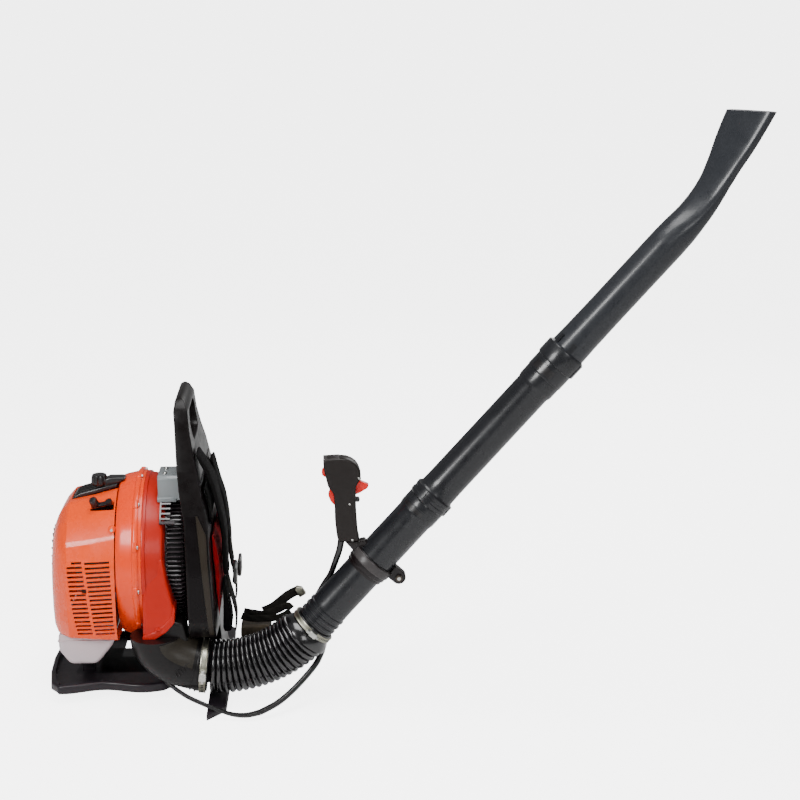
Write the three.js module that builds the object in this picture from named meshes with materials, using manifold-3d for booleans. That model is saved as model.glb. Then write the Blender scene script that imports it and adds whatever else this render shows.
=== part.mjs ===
// Backpack leaf blower: an engine and fan on a moulded base, a back frame with its
// harness, and an articulated blower tube with a control grip.
// Units are millimetres. +X is the way the operator faces, -Y is the operator's right
// (the tube side), +Z is up. The origin lies on the floor, under the base.
import * as THREE from 'three';
import { mergeVertices } from 'three/addons/utils/BufferGeometryUtils.js';
import Module from 'manifold-3d';

const wasm = await Module();
wasm.setup();

// ---------------------------------------------------------------- driving dimensions
const GAP = 0.3; // clearance between touching pieces
const FAN_Z = 229; // height of the crankshaft and fan axis, which runs along X
const RIM_RADIUS = 146; // flange where the two fan-case halves meet
const DRUM_RADIUS = 142; // front half of the fan case
const CHOKE_ROLL = 30; // degrees, the slope of the cover's shoulder
const CHOKE_PITCH = 17;
const ROPE_Z = FAN_Z - 42.4; // starter rope, leaving the bottom of its pulley
const STARTER_RADIUS = 58;
const GUARD_RADIUS = 124; // comb-like guard round the air intake
const CASE_SPLIT_X = 14; // plane between the two fan-case halves
const CASE_FRONT_X = 52; // intake face of the fan case
const COVER_FRONT_X = -32; // where the engine cover meets the fan case
const COVER_REAR_X = -148;
const TRAY_BOTTOM_Z = 18;
const TRAY_TOP_Z = 30;
const TRAY_HALF_WIDTH = 133;
const FRAME_TOP_Z = 526;
const FRAME_HALF_WIDTH = 168;
const FRAME_WALL = 9;
const FOOT_HALF_WIDTH = 212;

const TUBE_Y = -135; // the whole blower tube lies in this plane at rest
const ELBOW_RADIUS = 43;
const HOSE_START = { x: 122, z: 68, tilt: -5.5 }; // degrees, downward at the elbow outlet
const HOSE_BEND_RADIUS = 207;
const PIPE_PITCH = 48.07; // degrees above horizontal at rest
const PIPE_ORIGIN = { x: 308, z: 146 }; // station 0 of the pipes, at the hose collar
const SWIVEL_PIPE_RADIUS = 33;
const MIDDLE_PIPE_RADIUS = 30.5;
const NOZZLE_RADIUS = 30;
const PIPE_WALL = 2;
const SWIVEL_END = 283; // stations along the pipe axis, from PIPE_ORIGIN
const MIDDLE_START = 246;
const MIDDLE_END = 612;
const NOZZLE_START = 572;
const NOZZLE_BEND = 890;
const NOZZLE_BEND_LENGTH = 130;
const NOZZLE_BEND_ANGLE = 17; // degrees
const HANDLE_STATION = 140;

const ROUND_SIDES = 32; // facets of the large round housings
const PIPE_SIDES = 18; // facets of the hose and pipes
const RAD = Math.PI / 180;

// ---------------------------------------------------------------- materials
function finish(hex, roughness, metalness = 0) {
  return () => new THREE.MeshStandardMaterial({ color: hex, roughness, metalness });
}
const orange = finish(0xf4581a, 0.35);
const darkOrange = finish(0xbe2d0e, 0.4);
const blackPlastic = finish(0x26262a, 0.5);
const trayPlastic = finish(0x35333a, 0.55);
const framePlastic = finish(0x2c2522, 0.35);
const pipePlastic = finish(0x3a3d44, 0.4);
const rubber = finish(0x161616, 0.8);
const redPlastic = finish(0xd81e0a, 0.4);
const steel = finish(0x9a9a94, 0.35, 0.9);
const aluminium = finish(0xa8a8a4, 0.45, 0.8);
const greyMetal = finish(0x8d9194, 0.45, 0.5);
const tankPlastic = finish(0xd9cdd0, 0.4);
const blackFabric = finish(0x17171a, 0.9);
const redFabric = finish(0x96071c, 0.8);
const brownFabric = finish(0x4a443c, 0.9);
const filterFoam = finish(0x3c3a36, 0.95);

// ---------------------------------------------------------------- geometry helpers
const vec = (x, y, z) => new THREE.Vector3(x, y, z);

// Signed volume, used to turn a closed geometry's faces outward.
function outward(geometry) {
  const bare = geometry.clone();
  bare.deleteAttribute('normal');
  bare.deleteAttribute('uv');
  const merged = mergeVertices(bare, 1e-3);
  const p = merged.attributes.position;
  const index = merged.index.array;
  let volume = 0;
  const a = vec(0, 0, 0);
  const b = vec(0, 0, 0);
  const c = vec(0, 0, 0);
  for (let i = 0; i < index.length; i += 3) {
    a.fromBufferAttribute(p, index[i]);
    b.fromBufferAttribute(p, index[i + 1]);
    c.fromBufferAttribute(p, index[i + 2]);
    volume += a.dot(b.cross(c));
  }
  const kept = [];
  for (let i = 0; i < index.length; i += 3) {
    const [i0, i1, i2] = [index[i], index[i + 1], index[i + 2]];
    if (i0 === i1 || i1 === i2 || i0 === i2) continue;
    kept.push(...(volume < 0 ? [i0, i2, i1] : [i0, i1, i2]));
  }
  merged.setIndex(kept);
  return merged;
}

function toSolid(geometry) {
  const closed = outward(geometry);
  return new wasm.Manifold(new wasm.Mesh({
    numProp: 3,
    vertProperties: new Float32Array(closed.attributes.position.array),
    triVerts: new Uint32Array(closed.index.array),
  }));
}

function toGeometry(solid) {
  const mesh = solid.getMesh();
  const geometry = new THREE.BufferGeometry();
  geometry.setAttribute('position', new THREE.BufferAttribute(mesh.vertProperties, 3));
  geometry.setIndex(new THREE.BufferAttribute(mesh.triVerts, 1));
  return geometry;
}

function cut(base, ...tools) {
  return toGeometry(tools.reduce((solid, tool) => solid.subtract(toSolid(tool)), toSolid(base)));
}

function join(base, ...others) {
  return toGeometry(others.reduce((solid, other) => solid.add(toSolid(other)), toSolid(base)));
}

function box(x0, x1, y0, y1, z0, z1) {
  const geometry = new THREE.BoxGeometry(x1 - x0, y1 - y0, z1 - z0);
  return geometry.translate((x0 + x1) / 2, (y0 + y1) / 2, (z0 + z1) / 2);
}

// A cylinder or cone between two points.
function rod(from, to, radius, sides = 16, endRadius = radius) {
  const length = from.distanceTo(to);
  const geometry = new THREE.CylinderGeometry(endRadius, radius, length, sides);
  const turn = new THREE.Quaternion().setFromUnitVectors(
    vec(0, 1, 0), to.clone().sub(from).normalize());
  geometry.applyQuaternion(turn);
  const middle = from.clone().add(to).multiplyScalar(0.5);
  return geometry.translate(middle.x, middle.y, middle.z);
}

// Revolves [along, radius] points about the X axis; a hollow profile closes on itself.
function revolveX(profile, sides, y = 0, z = 0) {
  const points = profile.map(([along, radius]) => new THREE.Vector2(radius, along));
  return new THREE.LatheGeometry(points, sides).rotateZ(-Math.PI / 2).translate(0, y, z);
}

function ringProfile(x0, x1, inner, outer) {
  return [[x0, inner], [x0, outer], [x1, outer], [x1, inner], [x0, inner]];
}

function outline(points, holes = []) {
  const shape = new THREE.Shape(points.map(([a, b]) => new THREE.Vector2(a, b)));
  shape.holes = holes.map((hole) => new THREE.Path(hole.map(([a, b]) => new THREE.Vector2(a, b))));
  return shape;
}

// Extrudes an outline drawn in X and Y upward from z0 to z1.
function prismZ(shape, z0, z1) {
  const settings = { depth: z1 - z0, bevelEnabled: false, curveSegments: 6 };
  return new THREE.ExtrudeGeometry(shape, settings).translate(0, 0, z0);
}

// Extrudes an outline drawn in X and Z across Y, from y0 to y1.
function prismY(shape, y0, y1) {
  const settings = { depth: y1 - y0, bevelEnabled: false, curveSegments: 6 };
  return new THREE.ExtrudeGeometry(shape, settings).rotateX(Math.PI / 2).translate(0, y1, 0);
}

// Extrudes an outline drawn in Y and Z along X, from x0 to x1.
function prismX(shape, x0, x1) {
  const settings = { depth: x1 - x0, bevelEnabled: false, curveSegments: 6 };
  const turn = new THREE.Matrix4().makeBasis(vec(0, 1, 0), vec(0, 0, 1), vec(1, 0, 0));
  return new THREE.ExtrudeGeometry(shape, settings).applyMatrix4(turn).translate(x0, 0, 0);
}

function roundedRectangle(x0, x1, y0, y1, radius) {
  const shape = new THREE.Shape();
  shape.moveTo(x0 + radius, y0);
  shape.lineTo(x1 - radius, y0);
  shape.absarc(x1 - radius, y0 + radius, radius, -Math.PI / 2, 0);
  shape.lineTo(x1, y1 - radius);
  shape.absarc(x1 - radius, y1 - radius, radius, 0, Math.PI / 2);
  shape.lineTo(x0 + radius, y1);
  shape.absarc(x0 + radius, y1 - radius, radius, Math.PI / 2, Math.PI);
  shape.lineTo(x0, y0 + radius);
  shape.absarc(x0 + radius, y0 + radius, radius, Math.PI, 1.5 * Math.PI);
  return shape;
}

// A closed solid through equal-length loops of points, with flat fan caps.
function loft(loops, closed = false) {
  const count = loops[0].length;
  const positions = loops.flat().flatMap((p) => [p.x, p.y, p.z]);
  const index = [];
  const rings = closed ? loops.length : loops.length - 1;
  for (let i = 0; i < rings; i += 1) {
    const here = i * count;
    const next = ((i + 1) % loops.length) * count;
    for (let j = 0; j < count; j += 1) {
      const k = (j + 1) % count;
      index.push(here + j, here + k, next + k, here + j, next + k, next + j);
    }
  }
  if (!closed) {
    const last = (loops.length - 1) * count;
    for (let j = 1; j < count - 1; j += 1) {
      index.push(0, j + 1, j, last, last + j, last + j + 1);
    }
  }
  const geometry = new THREE.BufferGeometry();
  geometry.setAttribute('position', new THREE.Float32BufferAttribute(positions, 3));
  geometry.setIndex(index);
  return geometry;
}

// A walled duct: the outer loops from end to end, then the inner loops back again.
function duct(outer, inner) {
  return loft([...outer, ...inner.slice().reverse()], true);
}

// A rounded section: an ellipse at power 2, squarer above it.
function section(center, across, up, halfAcross, halfUp, sides, power = 2) {
  const loop = [];
  for (let i = 0; i < sides; i += 1) {
    const angle = (2 * Math.PI * i) / sides;
    const c = Math.cos(angle);
    const s = Math.sin(angle);
    const a = halfAcross * Math.sign(c) * Math.abs(c) ** (2 / power);
    const b = halfUp * Math.sign(s) * Math.abs(s) ** (2 / power);
    loop.push(center.clone().addScaledVector(across, a).addScaledVector(up, b));
  }
  return loop;
}

const SIDEWAYS = vec(0, 1, 0);

// A straight or bent round duct along centre points with tangents in the XZ plane.
function roundDuct(stations, sides, wall) {
  const ring = (station, less) => section(station.center, SIDEWAYS, station.up,
    station.radius - less, station.radius - less, sides);
  return duct(stations.map((s) => ring(s, 0)), stations.map((s) => ring(s, wall)));
}

const model = new THREE.Group();

function add(name, geometry, material, parent = model) {
  const mesh = new THREE.Mesh(outward(geometry), material());
  mesh.name = name;
  parent.add(mesh);
  return mesh;
}

// ---------------------------------------------------------------- base and feet
function makeBase() {
  // The near and far edges wave in and out a little, as the moulding does.
  const wave = (x) => TRAY_HALF_WIDTH - 7 + 7 * Math.cos((x + 130) / 22);
  const edge = [];
  for (let x = -137; x <= 45; x += 13) edge.push([x, -wave(x)]);
  const right = [...edge, [58, -112], [62, -52]];
  const left = right.map(([x, y]) => [x, -y]).reverse();
  const rear = [[-152, 112], [-160, 60], [-163, 0], [-160, -60], [-152, -112]];
  const plan = [...right, ...left, ...rear];
  const inset = plan.map(([x, y]) => [x * 0.94 - 3, y * 0.93]);
  const plate = prismZ(outline(plan), TRAY_BOTTOM_Z, TRAY_TOP_Z);
  const pocket = prismZ(outline(inset), TRAY_BOTTOM_Z + 5, TRAY_TOP_Z + 5);
  const window = box(-45, 5, 14, 104, 0, 60);
  const sole = box(-120, 62, -58, 58, 0, TRAY_BOTTOM_Z + 6);
  const saddle = box(-112, -80, -60, 60, TRAY_BOTTOM_Z + 4, 60 - GAP);
  const neck = box(61, 121 - GAP, -52, 52, 0, 12);
  const shell = join(cut(plate, pocket), sole, saddle, neck);
  add('base_tray', cut(shell, window), trayPlastic);

  // One cross bar under the frame ends in a swept foot on each side.
  const foot = [[121, -FOOT_HALF_WIDTH], [153, -175], [156, 0]];
  const bar = [...foot, ...foot.map(([x, y]) => [x, -y]).reverse()];
  add('front_foot_bar', prismZ(outline(bar), 0, 12), trayPlastic);
}

// ---------------------------------------------------------------- back frame
// Rear and front edges of the frame as [height, x]: upright beside the lumbar pad, then
// leaning back to the handle.
const FRAME_REAR = [[12.5, 94], [171, 92], [264, 91], [335, 88], [343, 86], [379, 80],
  [421, 76], [454, 74], [491, 72], [505, 71]];
const FRAME_FRONT = [[12.5, 150], [60, 143], [123, 138], [151, 137], [201, 134], [263, 130],
  [316, 128], [339, 126], [367, 119], [412, 111], [440, 104], [473, 98], [505, 95]];

function edgeAt(edge, z) {
  const above = edge.findIndex(([height]) => height >= z);
  const i = Math.max(above, 1);
  const [z0, x0] = edge[i - 1];
  const [z1, x1] = edge[i];
  return x0 + ((x1 - x0) * (z - z0)) / (z1 - z0);
}

const frameFront = (z) => edgeAt(FRAME_FRONT, z);

function makeFrame() {
  const profile = [
    ...FRAME_FRONT.map(([z, x]) => [x, z]), [89, 520], [81, FRAME_TOP_Z], [73, 520],
    ...FRAME_REAR.map(([z, x]) => [x, z]).reverse(),
  ];
  const slab = prismY(outline(profile), -FRAME_HALF_WIDTH, FRAME_HALF_WIDTH);

  // The front view narrows to the carrying handle, and below the elbow to the base.
  const side = [
    [50, 12], [60, 60], [62, 114], [150, 126], [FRAME_HALF_WIDTH, 156], [166, 240],
    [150, 330], [118, 410], [92, 470], [82, 505], [62, 524], [50, 527],
  ];
  const front = outline([...side, ...side.map(([y, z]) => [-y, z]).reverse()]);
  const trimmed = toSolid(slab).intersect(toSolid(prismX(front, 40, 170)));

  // Pocket between the side walls, open toward the engine, and the handle opening.
  const innerSide = side.map(([y, z]) => [Math.max(y - 9, 40), z]);
  const inner = outline([...innerSide, ...innerSide.map(([y, z]) => [-y, z]).reverse()]);
  const pocketProfile = [
    [60, 30], [frameFront(30) - FRAME_WALL, 30], [frameFront(182) - FRAME_WALL, 182],
    [frameFront(300) - FRAME_WALL, 300], [frameFront(425) - FRAME_WALL, 425], [60, 425],
  ];
  const pocket = toSolid(prismY(outline(pocketProfile), -160, 160))
    .intersect(toSolid(prismX(inner, 40, 170)));
  const grip = toSolid(prismX(roundedRectangle(-56, 56, 446, 500, 20), 40, 170));
  add('back_frame', toGeometry(trimmed.subtract(pocket).subtract(grip)), framePlastic);

  // Bracket that steadies the top of the fan case against the frame.
  const plate = [[-80, 348], [-80, 386], [-74, 392], [-18, 392], [-18, 371.5], [-50, 364]];
  add('top_bracket', prismX(outline(plate), 40, 103), greyMetal);
  for (const [y, name] of [[-34, 'right'], [34, 'left']]) {
    const waisted = [[30.5, 0], [30.5, 14], [46, 9], [72, 9], [87, 13], [87, 0]];
    const mount = revolveX(waisted, 14).rotateY(-Math.PI / 2).translate(38, y, 0);
    add(`${name}_rubber_mount`, mount, rubber);
  }
}

// ---------------------------------------------------------------- fan case and intake guard
// Side view of the outlet scoop; its lower edge slopes up toward the frame.
const OUTLET = [[CASE_SPLIT_X, 130], [64, 158], [64, 176], [58, 190], [CASE_SPLIT_X, 190]];

function makeFanCase() {
  const rearHalf = [
    [-30, 20], [-30, 138], [-1, 147], [-1, RIM_RADIUS + 4], [8, RIM_RADIUS + 4], [8, 147],
    [13.7, 147], [13.7, 128], [-24, 128], [-24, 20], [-30, 20],
  ];
  add('fan_case_rear', revolveX(rearHalf, ROUND_SIDES, 0, FAN_Z), orange);

  const frontHalf = [
    [CASE_SPLIT_X, 129], [CASE_SPLIT_X, 146], [20, 146], [20, DRUM_RADIUS],
    [CASE_FRONT_X - 6, DRUM_RADIUS - 4], [CASE_FRONT_X, DRUM_RADIUS - 14],
    [CASE_FRONT_X, 86], [CASE_FRONT_X - 4, 86], [CASE_FRONT_X - 4, 129], [CASE_SPLIT_X, 129],
  ];
  const drum = revolveX(frontHalf, ROUND_SIDES, 0, FAN_Z);
  // The outlet leaves the drum downward on the tube side and meets the elbow.
  const outlet = prismY(outline(OUTLET), -176, -92);
  const hollow = revolveX([[CASE_SPLIT_X - 1, 0], [CASE_SPLIT_X - 1, 129],
    [CASE_FRONT_X - 4, 129], [CASE_FRONT_X - 4, 0]], ROUND_SIDES, 0, FAN_Z);
  const throat = box(20, 58, -170, -98, 120, 164);
  const port = box(20, CASE_FRONT_X - 4, -128, -98, 140, 200);
  const guardRoom = revolveX([[CASE_FRONT_X, 0], [CASE_FRONT_X, GUARD_RADIUS + 2],
    [90, GUARD_RADIUS + 2], [90, 0]], ROUND_SIDES, 0, FAN_Z);
  const shell = cut(join(drum, outlet), hollow, throat, port, guardRoom);
  add('fan_case_front', shell, darkOrange);

  // Comb-like guard: slim bars round the air intake, tied by two rings.
  const bars = [];
  const count = 30;
  for (let i = 0; i < count; i += 1) {
    const bar = box(55, 84, -2, 2, 112, 122);
    bars.push(bar.rotateX((2 * Math.PI * i) / count).translate(0, 0, FAN_Z));
  }
  const rearRing = revolveX(ringProfile(CASE_FRONT_X + GAP, 56, 108, GUARD_RADIUS), 30, 0, FAN_Z);
  const frontRing = revolveX(ringProfile(82, 86, 96, GUARD_RADIUS - 1.5), 30, 0, FAN_Z);
  add('intake_guard', join(rearRing, frontRing, ...bars), blackPlastic);
}

// ---------------------------------------------------------------- engine
function coverSection(x, halfWidth, top, bottom) {
  const side = [
    [0, 1], [0.36, 0.975], [0.66, 0.885], [0.86, 0.74], [0.97, 0.56], [1, 0.38],
    [1, 0.16], [0.93, 0.03], [0.8, 0],
  ];
  const loop = side.map(([a, b]) => vec(x, -a * halfWidth, bottom + b * (top - bottom)));
  const mirror = side.slice(1).reverse().map(([a, b]) =>
    vec(x, a * halfWidth, bottom + b * (top - bottom)));
  return [...loop, ...mirror];
}

function coverLoops(less) {
  const stations = [
    [COVER_FRONT_X, 139, 364, 108], [-72, 137, 349, 110], [-116, 131, 335, 114],
    [-129, 122, 320, 112], [-137, 110, 302, 115], [-143, 96, 284, 124],
    [COVER_REAR_X, 80, 270, 136],
  ];
  return stations.map(([x, w, top, bottom], i) => {
    const shift = i === 0 ? -1 : less;
    return coverSection(Math.min(x + less, COVER_FRONT_X + shift), w - less, top - less, bottom + less);
  });
}

function makeEngineCover() {
  const outer = loft(coverLoops(0));
  const inner = loft(coverLoops(3).map((loop, i) =>
    (i === 0 ? loop.map((p) => vec(COVER_FRONT_X + 5, p.y, p.z)) : loop)));
  const starterHole = rod(vec(-170, 0, FAN_Z), vec(-110, 0, FAN_Z), STARTER_RADIUS + 2, 32);
  const slots = [];
  for (let row = 0; row < 10; row += 1) {
    const z = 128 + row * 13.5;
    slots.push(box(-110, -86, -150, -120, z - 2, z + 2));
    slots.push(box(-78, -44, -150, -120, z - 2, z + 2));
  }
  const chokeBoss = rod(vec(0, 0, -12), vec(0, 0, -2), 7, 12).applyMatrix4(chokeMatrix);
  const slot = box(-46, -36, -6, 6, -30, 10).applyMatrix4(chokeMatrix);
  const airBoxOpening = box(-114, COVER_FRONT_X + 6, -31, 31, 326, 380);
  const tankArch = box(-140, -40, -104, 104, 90, 118 + GAP);
  const rope = box(-145, -129, 30, 160, ROPE_Z - 7, ROPE_Z + 7);
  const shell = cut(outer, inner, starterHole, slot, airBoxOpening, tankArch, rope, ...slots);
  add('engine_cover', join(shell, chokeBoss), orange);
}

function makeAirCleaner() {
  const side = outline([[-113, 331], [-113, 344], [COVER_FRONT_X - 2, 364],
    [COVER_FRONT_X - 2, 358], [-96, 337]]);
  const lid = prismY(side, -30, 30);
  add('air_cleaner_cover', cut(lid, rod(vec(-66, -18, 300), vec(-66, -18, 400), 4.3, 12)), blackPlastic);
  add('air_filter', box(-90, -46, -28, 28, 312, 333), filterFoam);

  // Fluted knob: a shaft through the lid and a head with finger flutes.
  const flutes = [];
  for (let i = 0; i < 8; i += 1) {
    const angle = (2 * Math.PI * i) / 8;
    const x = -66 + 15.5 * Math.cos(angle);
    const y = -18 + 15.5 * Math.sin(angle);
    flutes.push(rod(vec(x, y, 350), vec(x, y, 400), 3, 8));
  }
  const head = rod(vec(-66, -18, 364), vec(-66, -18, 380), 14, 24);
  const shaft = rod(vec(-66, -18, 346), vec(-66, -18, 366), 3.8, 12);
  add('air_cleaner_knob', cut(join(head, shaft), ...flutes), blackPlastic);
}

function makeEngine() {
  const axis = (x) => vec(x, 0, FAN_Z);
  const crankcase = box(-100, -42, -48, 48, FAN_Z - 48, FAN_Z + 40);
  const bore = rod(axis(-110), axis(-30), 12.5, 20);
  add('crankcase', cut(crankcase, bore), aluminium);

  // Cooling fins stacked up the cylinder.
  const fins = [];
  for (let i = 0; i < 4; i += 1) {
    const z = FAN_Z + 43 + i * 10;
    fins.push(box(-104, -44, -38, 38, z, z + 2.5));
  }
  const barrel = rod(vec(-74, 0, FAN_Z + 40.3), vec(-74, 0, FAN_Z + 79), 26, 20);
  add('cylinder', join(barrel, ...fins), aluminium);
  const boot = rod(vec(-124, 0, FAN_Z + 59), vec(-104.4, 0, FAN_Z + 59), 9, 12);
  add('spark_plug_boot', boot, rubber);

  const canister = box(-100, -44, -112, -49, FAN_Z - 42, FAN_Z + 24);
  const chamber = box(-98, -46, -110, -51, FAN_Z - 40, FAN_Z + 22);
  const outlet = rod(vec(-84, -120, FAN_Z + 12), vec(-84, -105, FAN_Z + 12), 7, 12);
  add('muffler', cut(canister, chamber, outlet), steel);

  const carburettor = box(-88, -52, 49, 84, FAN_Z - 8, FAN_Z + 30);
  const leverBore = rod(vec(-70, 60, FAN_Z + 20), vec(-70, 60, FAN_Z + 40), 3.3, 12);
  add('carburettor', cut(carburettor, leverBore), aluminium);
  const leverArm = box(-74, -66, 56, 92, FAN_Z + 31, FAN_Z + 34);
  const leverPin = rod(vec(-70, 60, FAN_Z + 21), vec(-70, 60, FAN_Z + 32), 2.9, 12);
  add('throttle_lever', join(leverArm, leverPin), steel);

  // One shaft carries the flywheel, the fan and the starter dogs.
  const shaft = rod(axis(-118), axis(43), 12, 20);
  add('crankshaft', shaft, steel);
  const flywheel = revolveX(ringProfile(-22, -6, 12.3, 74), 32, 0, FAN_Z);
  add('flywheel', flywheel, aluminium);
  const plate = revolveX(ringProfile(16, 19, 12.3, 118), 32, 0, FAN_Z);
  const hub = revolveX(ringProfile(16, 42, 12.3, 26), 20, 0, FAN_Z);
  const blades = [];
  for (let i = 0; i < 9; i += 1) {
    const blade = box(18, 43, -1.5, 1.5, 60, 116);
    blades.push(blade.rotateX((2 * Math.PI * i) / 9).translate(0, 0, FAN_Z));
  }
  const spokes = join(plate, hub, ...blades);
  add('fan_impeller', spokes, blackPlastic);
}

function makeStarter() {
  // Flat round housing set into the rear of the cover, open to the engine.
  const profile = [
    [-149, 0], [-151, 36], [-148, STARTER_RADIUS], [-128, STARTER_RADIUS],
    [-128, STARTER_RADIUS - 5], [-146, STARTER_RADIUS - 5], [-146, 0],
  ];
  const housing = revolveX(profile, 32, 0, FAN_Z);
  const ropeExit = box(-141, -133, 25, 90, ROPE_Z - 5, ROPE_Z + 5);
  add('starter_housing', cut(housing, ropeExit), blackPlastic);
  const pulley = [
    [-144, 0], [-144, 46], [-139, 40], [-135, 40], [-130, 46], [-130, 0],
  ];
  add('starter_pulley', revolveX(pulley, 28, 0, FAN_Z), blackPlastic);
  // The rope leaves the bottom of the pulley's groove on a tangent.
  const rope = rod(vec(-137, 2, ROPE_Z), vec(-137, 146.2, ROPE_Z), 2, 8);
  add('starter_rope', rope, blackFabric);
  const bar = rod(vec(-137, 154.6, ROPE_Z - 32), vec(-137, 154.6, ROPE_Z + 32), 8, 14);
  add('starter_grip', bar, blackPlastic);
}

function makeFuelTank() {
  const profile = outline([[-138, 118], [-138, 86], [-119, 60], [-74, 60], [-64, 70],
    [-42, 98], [-42, 118]]);
  const tank = prismY(profile, -102, 102);
  const neck = rod(vec(-87, 90, 80), vec(-87, 112, 80), 17, 20);
  const fillHole = rod(vec(-87, 88, 80), vec(-87, 120, 80), 13, 20);
  add('fuel_tank', cut(join(tank, neck), fillHole), tankPlastic);
  const cap = revolveX([[0, 0], [0, 19], [13, 19], [13, 0]], 20);
  cap.rotateZ(Math.PI / 2).translate(-87, 112.4, 80);
  add('fuel_cap', cap, blackPlastic);
}

// The choke lever lies on the sloping shoulder of the cover, in a frame of its own:
// its pivot is at the origin and local z stands out of the shoulder.
const chokeMatrix = new THREE.Matrix4().makeRotationX(CHOKE_ROLL * RAD)
  .multiply(new THREE.Matrix4().makeRotationY(-CHOKE_PITCH * RAD)).setPosition(-43, -76, 345.3);

function makeChoke() {
  const arm = box(-30, 5, -4, 4, -1.5, 1.5);
  const knob = rod(vec(-24, 0, 1), vec(-24, 0, 16), 8, 16);
  const eye = rod(vec(0, 0, -1.5), vec(0, 0, 4), 6, 12);
  add('choke_lever', join(arm, knob, eye).applyMatrix4(chokeMatrix), blackPlastic);
}

// ---------------------------------------------------------------- elbow and hose
function tangentUp(angle) {
  return vec(-Math.sin(angle * RAD), 0, Math.cos(angle * RAD));
}

function makeElbow() {
  const curve = new THREE.CubicBezierCurve3(
    vec(34, TUBE_Y, 127.7), vec(34, TUBE_Y, 92), vec(76, TUBE_Y, 72.5),
    vec(HOSE_START.x, TUBE_Y, HOSE_START.z));
  const stations = [];
  const steps = 8;
  for (let i = 0; i <= steps; i += 1) {
    const t = i / steps;
    const tangent = curve.getTangent(t);
    const up = vec(-tangent.z, 0, tangent.x);
    stations.push({ center: curve.getPoint(t), up, radius: ELBOW_RADIUS + 1 - t });
  }
  // Its mouth is scribed to the round fan case above it.
  const scribe = revolveX([[-40, 0], [-40, RIM_RADIUS + 4.4], [CASE_SPLIT_X, RIM_RADIUS + 4.4],
    [CASE_SPLIT_X, 146.4], [20, 146.4], [20, DRUM_RADIUS + 0.4], [70, DRUM_RADIUS + 0.4], [70, 0]],
  ROUND_SIDES, 0, FAN_Z);
  const roomSide = outline([[CASE_SPLIT_X - GAP, 127.7], [64 + GAP, 157.6], [64 + GAP, 200],
    [CASE_SPLIT_X - GAP, 200]]);
  const outletRoom = prismY(roomSide, -176 - GAP, -92 + GAP);
  // A hollow cheek fills the corner between the sloping outlet and the top of the bend.
  const cheekSide = outline([[16, 112], [16, 129], [64, 157], [86, 150], [89, 117], [112, 110],
    [112, 100], [60, 96]]);
  const bore = loft(stations.map((s) => section(s.center, SIDEWAYS, s.up,
    s.radius - 2.5, s.radius - 2.5, PIPE_SIDES)));
  const cheek = cut(prismY(cheekSide, -166, -104), bore, box(20, 60, -162, -108, 100, 164));
  const bend = join(roundDuct(stations, PIPE_SIDES, 2.5), cheek);
  add('elbow', cut(bend, scribe, outletRoom), blackPlastic);
}

function hoseStation(angle, radius) {
  const start = HOSE_START.tilt * RAD;
  const cx = HOSE_START.x - HOSE_BEND_RADIUS * Math.sin(start);
  const cz = HOSE_START.z + HOSE_BEND_RADIUS * Math.cos(start);
  const x = cx + HOSE_BEND_RADIUS * Math.sin(angle * RAD);
  const z = cz - HOSE_BEND_RADIUS * Math.cos(angle * RAD);
  return { center: vec(x, TUBE_Y, z), up: tangentUp(angle), radius };
}

const pipeFrame = new THREE.Group();
pipeFrame.position.set(PIPE_ORIGIN.x, TUBE_Y, PIPE_ORIGIN.z);
pipeFrame.rotation.y = -PIPE_PITCH * RAD;
model.add(pipeFrame);

function pipePoint(along, side = 0, up = 0) {
  const e = vec(Math.cos(PIPE_PITCH * RAD), 0, Math.sin(PIPE_PITCH * RAD));
  const n = tangentUp(PIPE_PITCH);
  return vec(PIPE_ORIGIN.x, TUBE_Y + side, PIPE_ORIGIN.z)
    .addScaledVector(e, along).addScaledVector(n, up);
}

function makeHose() {
  const stations = [];
  const steps = 9;
  for (let i = 0; i <= steps; i += 1) {
    const angle = HOSE_START.tilt + 0.9 + (43.5 - HOSE_START.tilt) * (i / steps);
    stations.push(hoseStation(angle, 46));
  }
  const collar = (along, radius) => ({
    center: pipePoint(along), up: tangentUp(PIPE_PITCH), radius,
  });
  stations.push(collar(-30, 42), collar(-16, 36.5), collar(-4, 36));
  add('hose_bellows', roundDuct(stations, PIPE_SIDES, 3), rubber);

  // Band clamps, open at the screw, with a lug on each side of the gap.
  const band = (name, x0, x1, inner, matrix) => {
    const ring = revolveX(ringProfile(x0, x1, inner, inner + 1.6), PIPE_SIDES);
    const lug = box(x0, x1, -inner - 12, -inner - 0.4, -5, 5);
    const gap = box(x0 - 1, x1 + 1, -inner - 14, -inner + 3, -1.5, 1.5);
    const pin = rod(vec((x0 + x1) / 2, -inner - 7, -12), vec((x0 + x1) / 2, -inner - 7, 12), 2.2, 8);
    const bore = rod(vec((x0 + x1) / 2, -inner - 7, -14), vec((x0 + x1) / 2, -inner - 7, 14), 2.5, 8);
    add(`${name}_hose_clamp`, cut(join(ring, lug), gap, bore).applyMatrix4(matrix), steel);
    add(`${name}_clamp_screw`, pin.applyMatrix4(matrix), steel);
  };
  const lower = new THREE.Matrix4().makeRotationY(-HOSE_START.tilt * RAD)
    .setPosition(HOSE_START.x, TUBE_Y, HOSE_START.z);
  band('lower', -13, -2, ELBOW_RADIUS + 1.8, lower);
  const upper = new THREE.Matrix4().makeRotationY(-PIPE_PITCH * RAD)
    .setPosition(PIPE_ORIGIN.x, TUBE_Y, PIPE_ORIGIN.z);
  band('upper', -14, -5, 37.3, upper);
}

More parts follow.
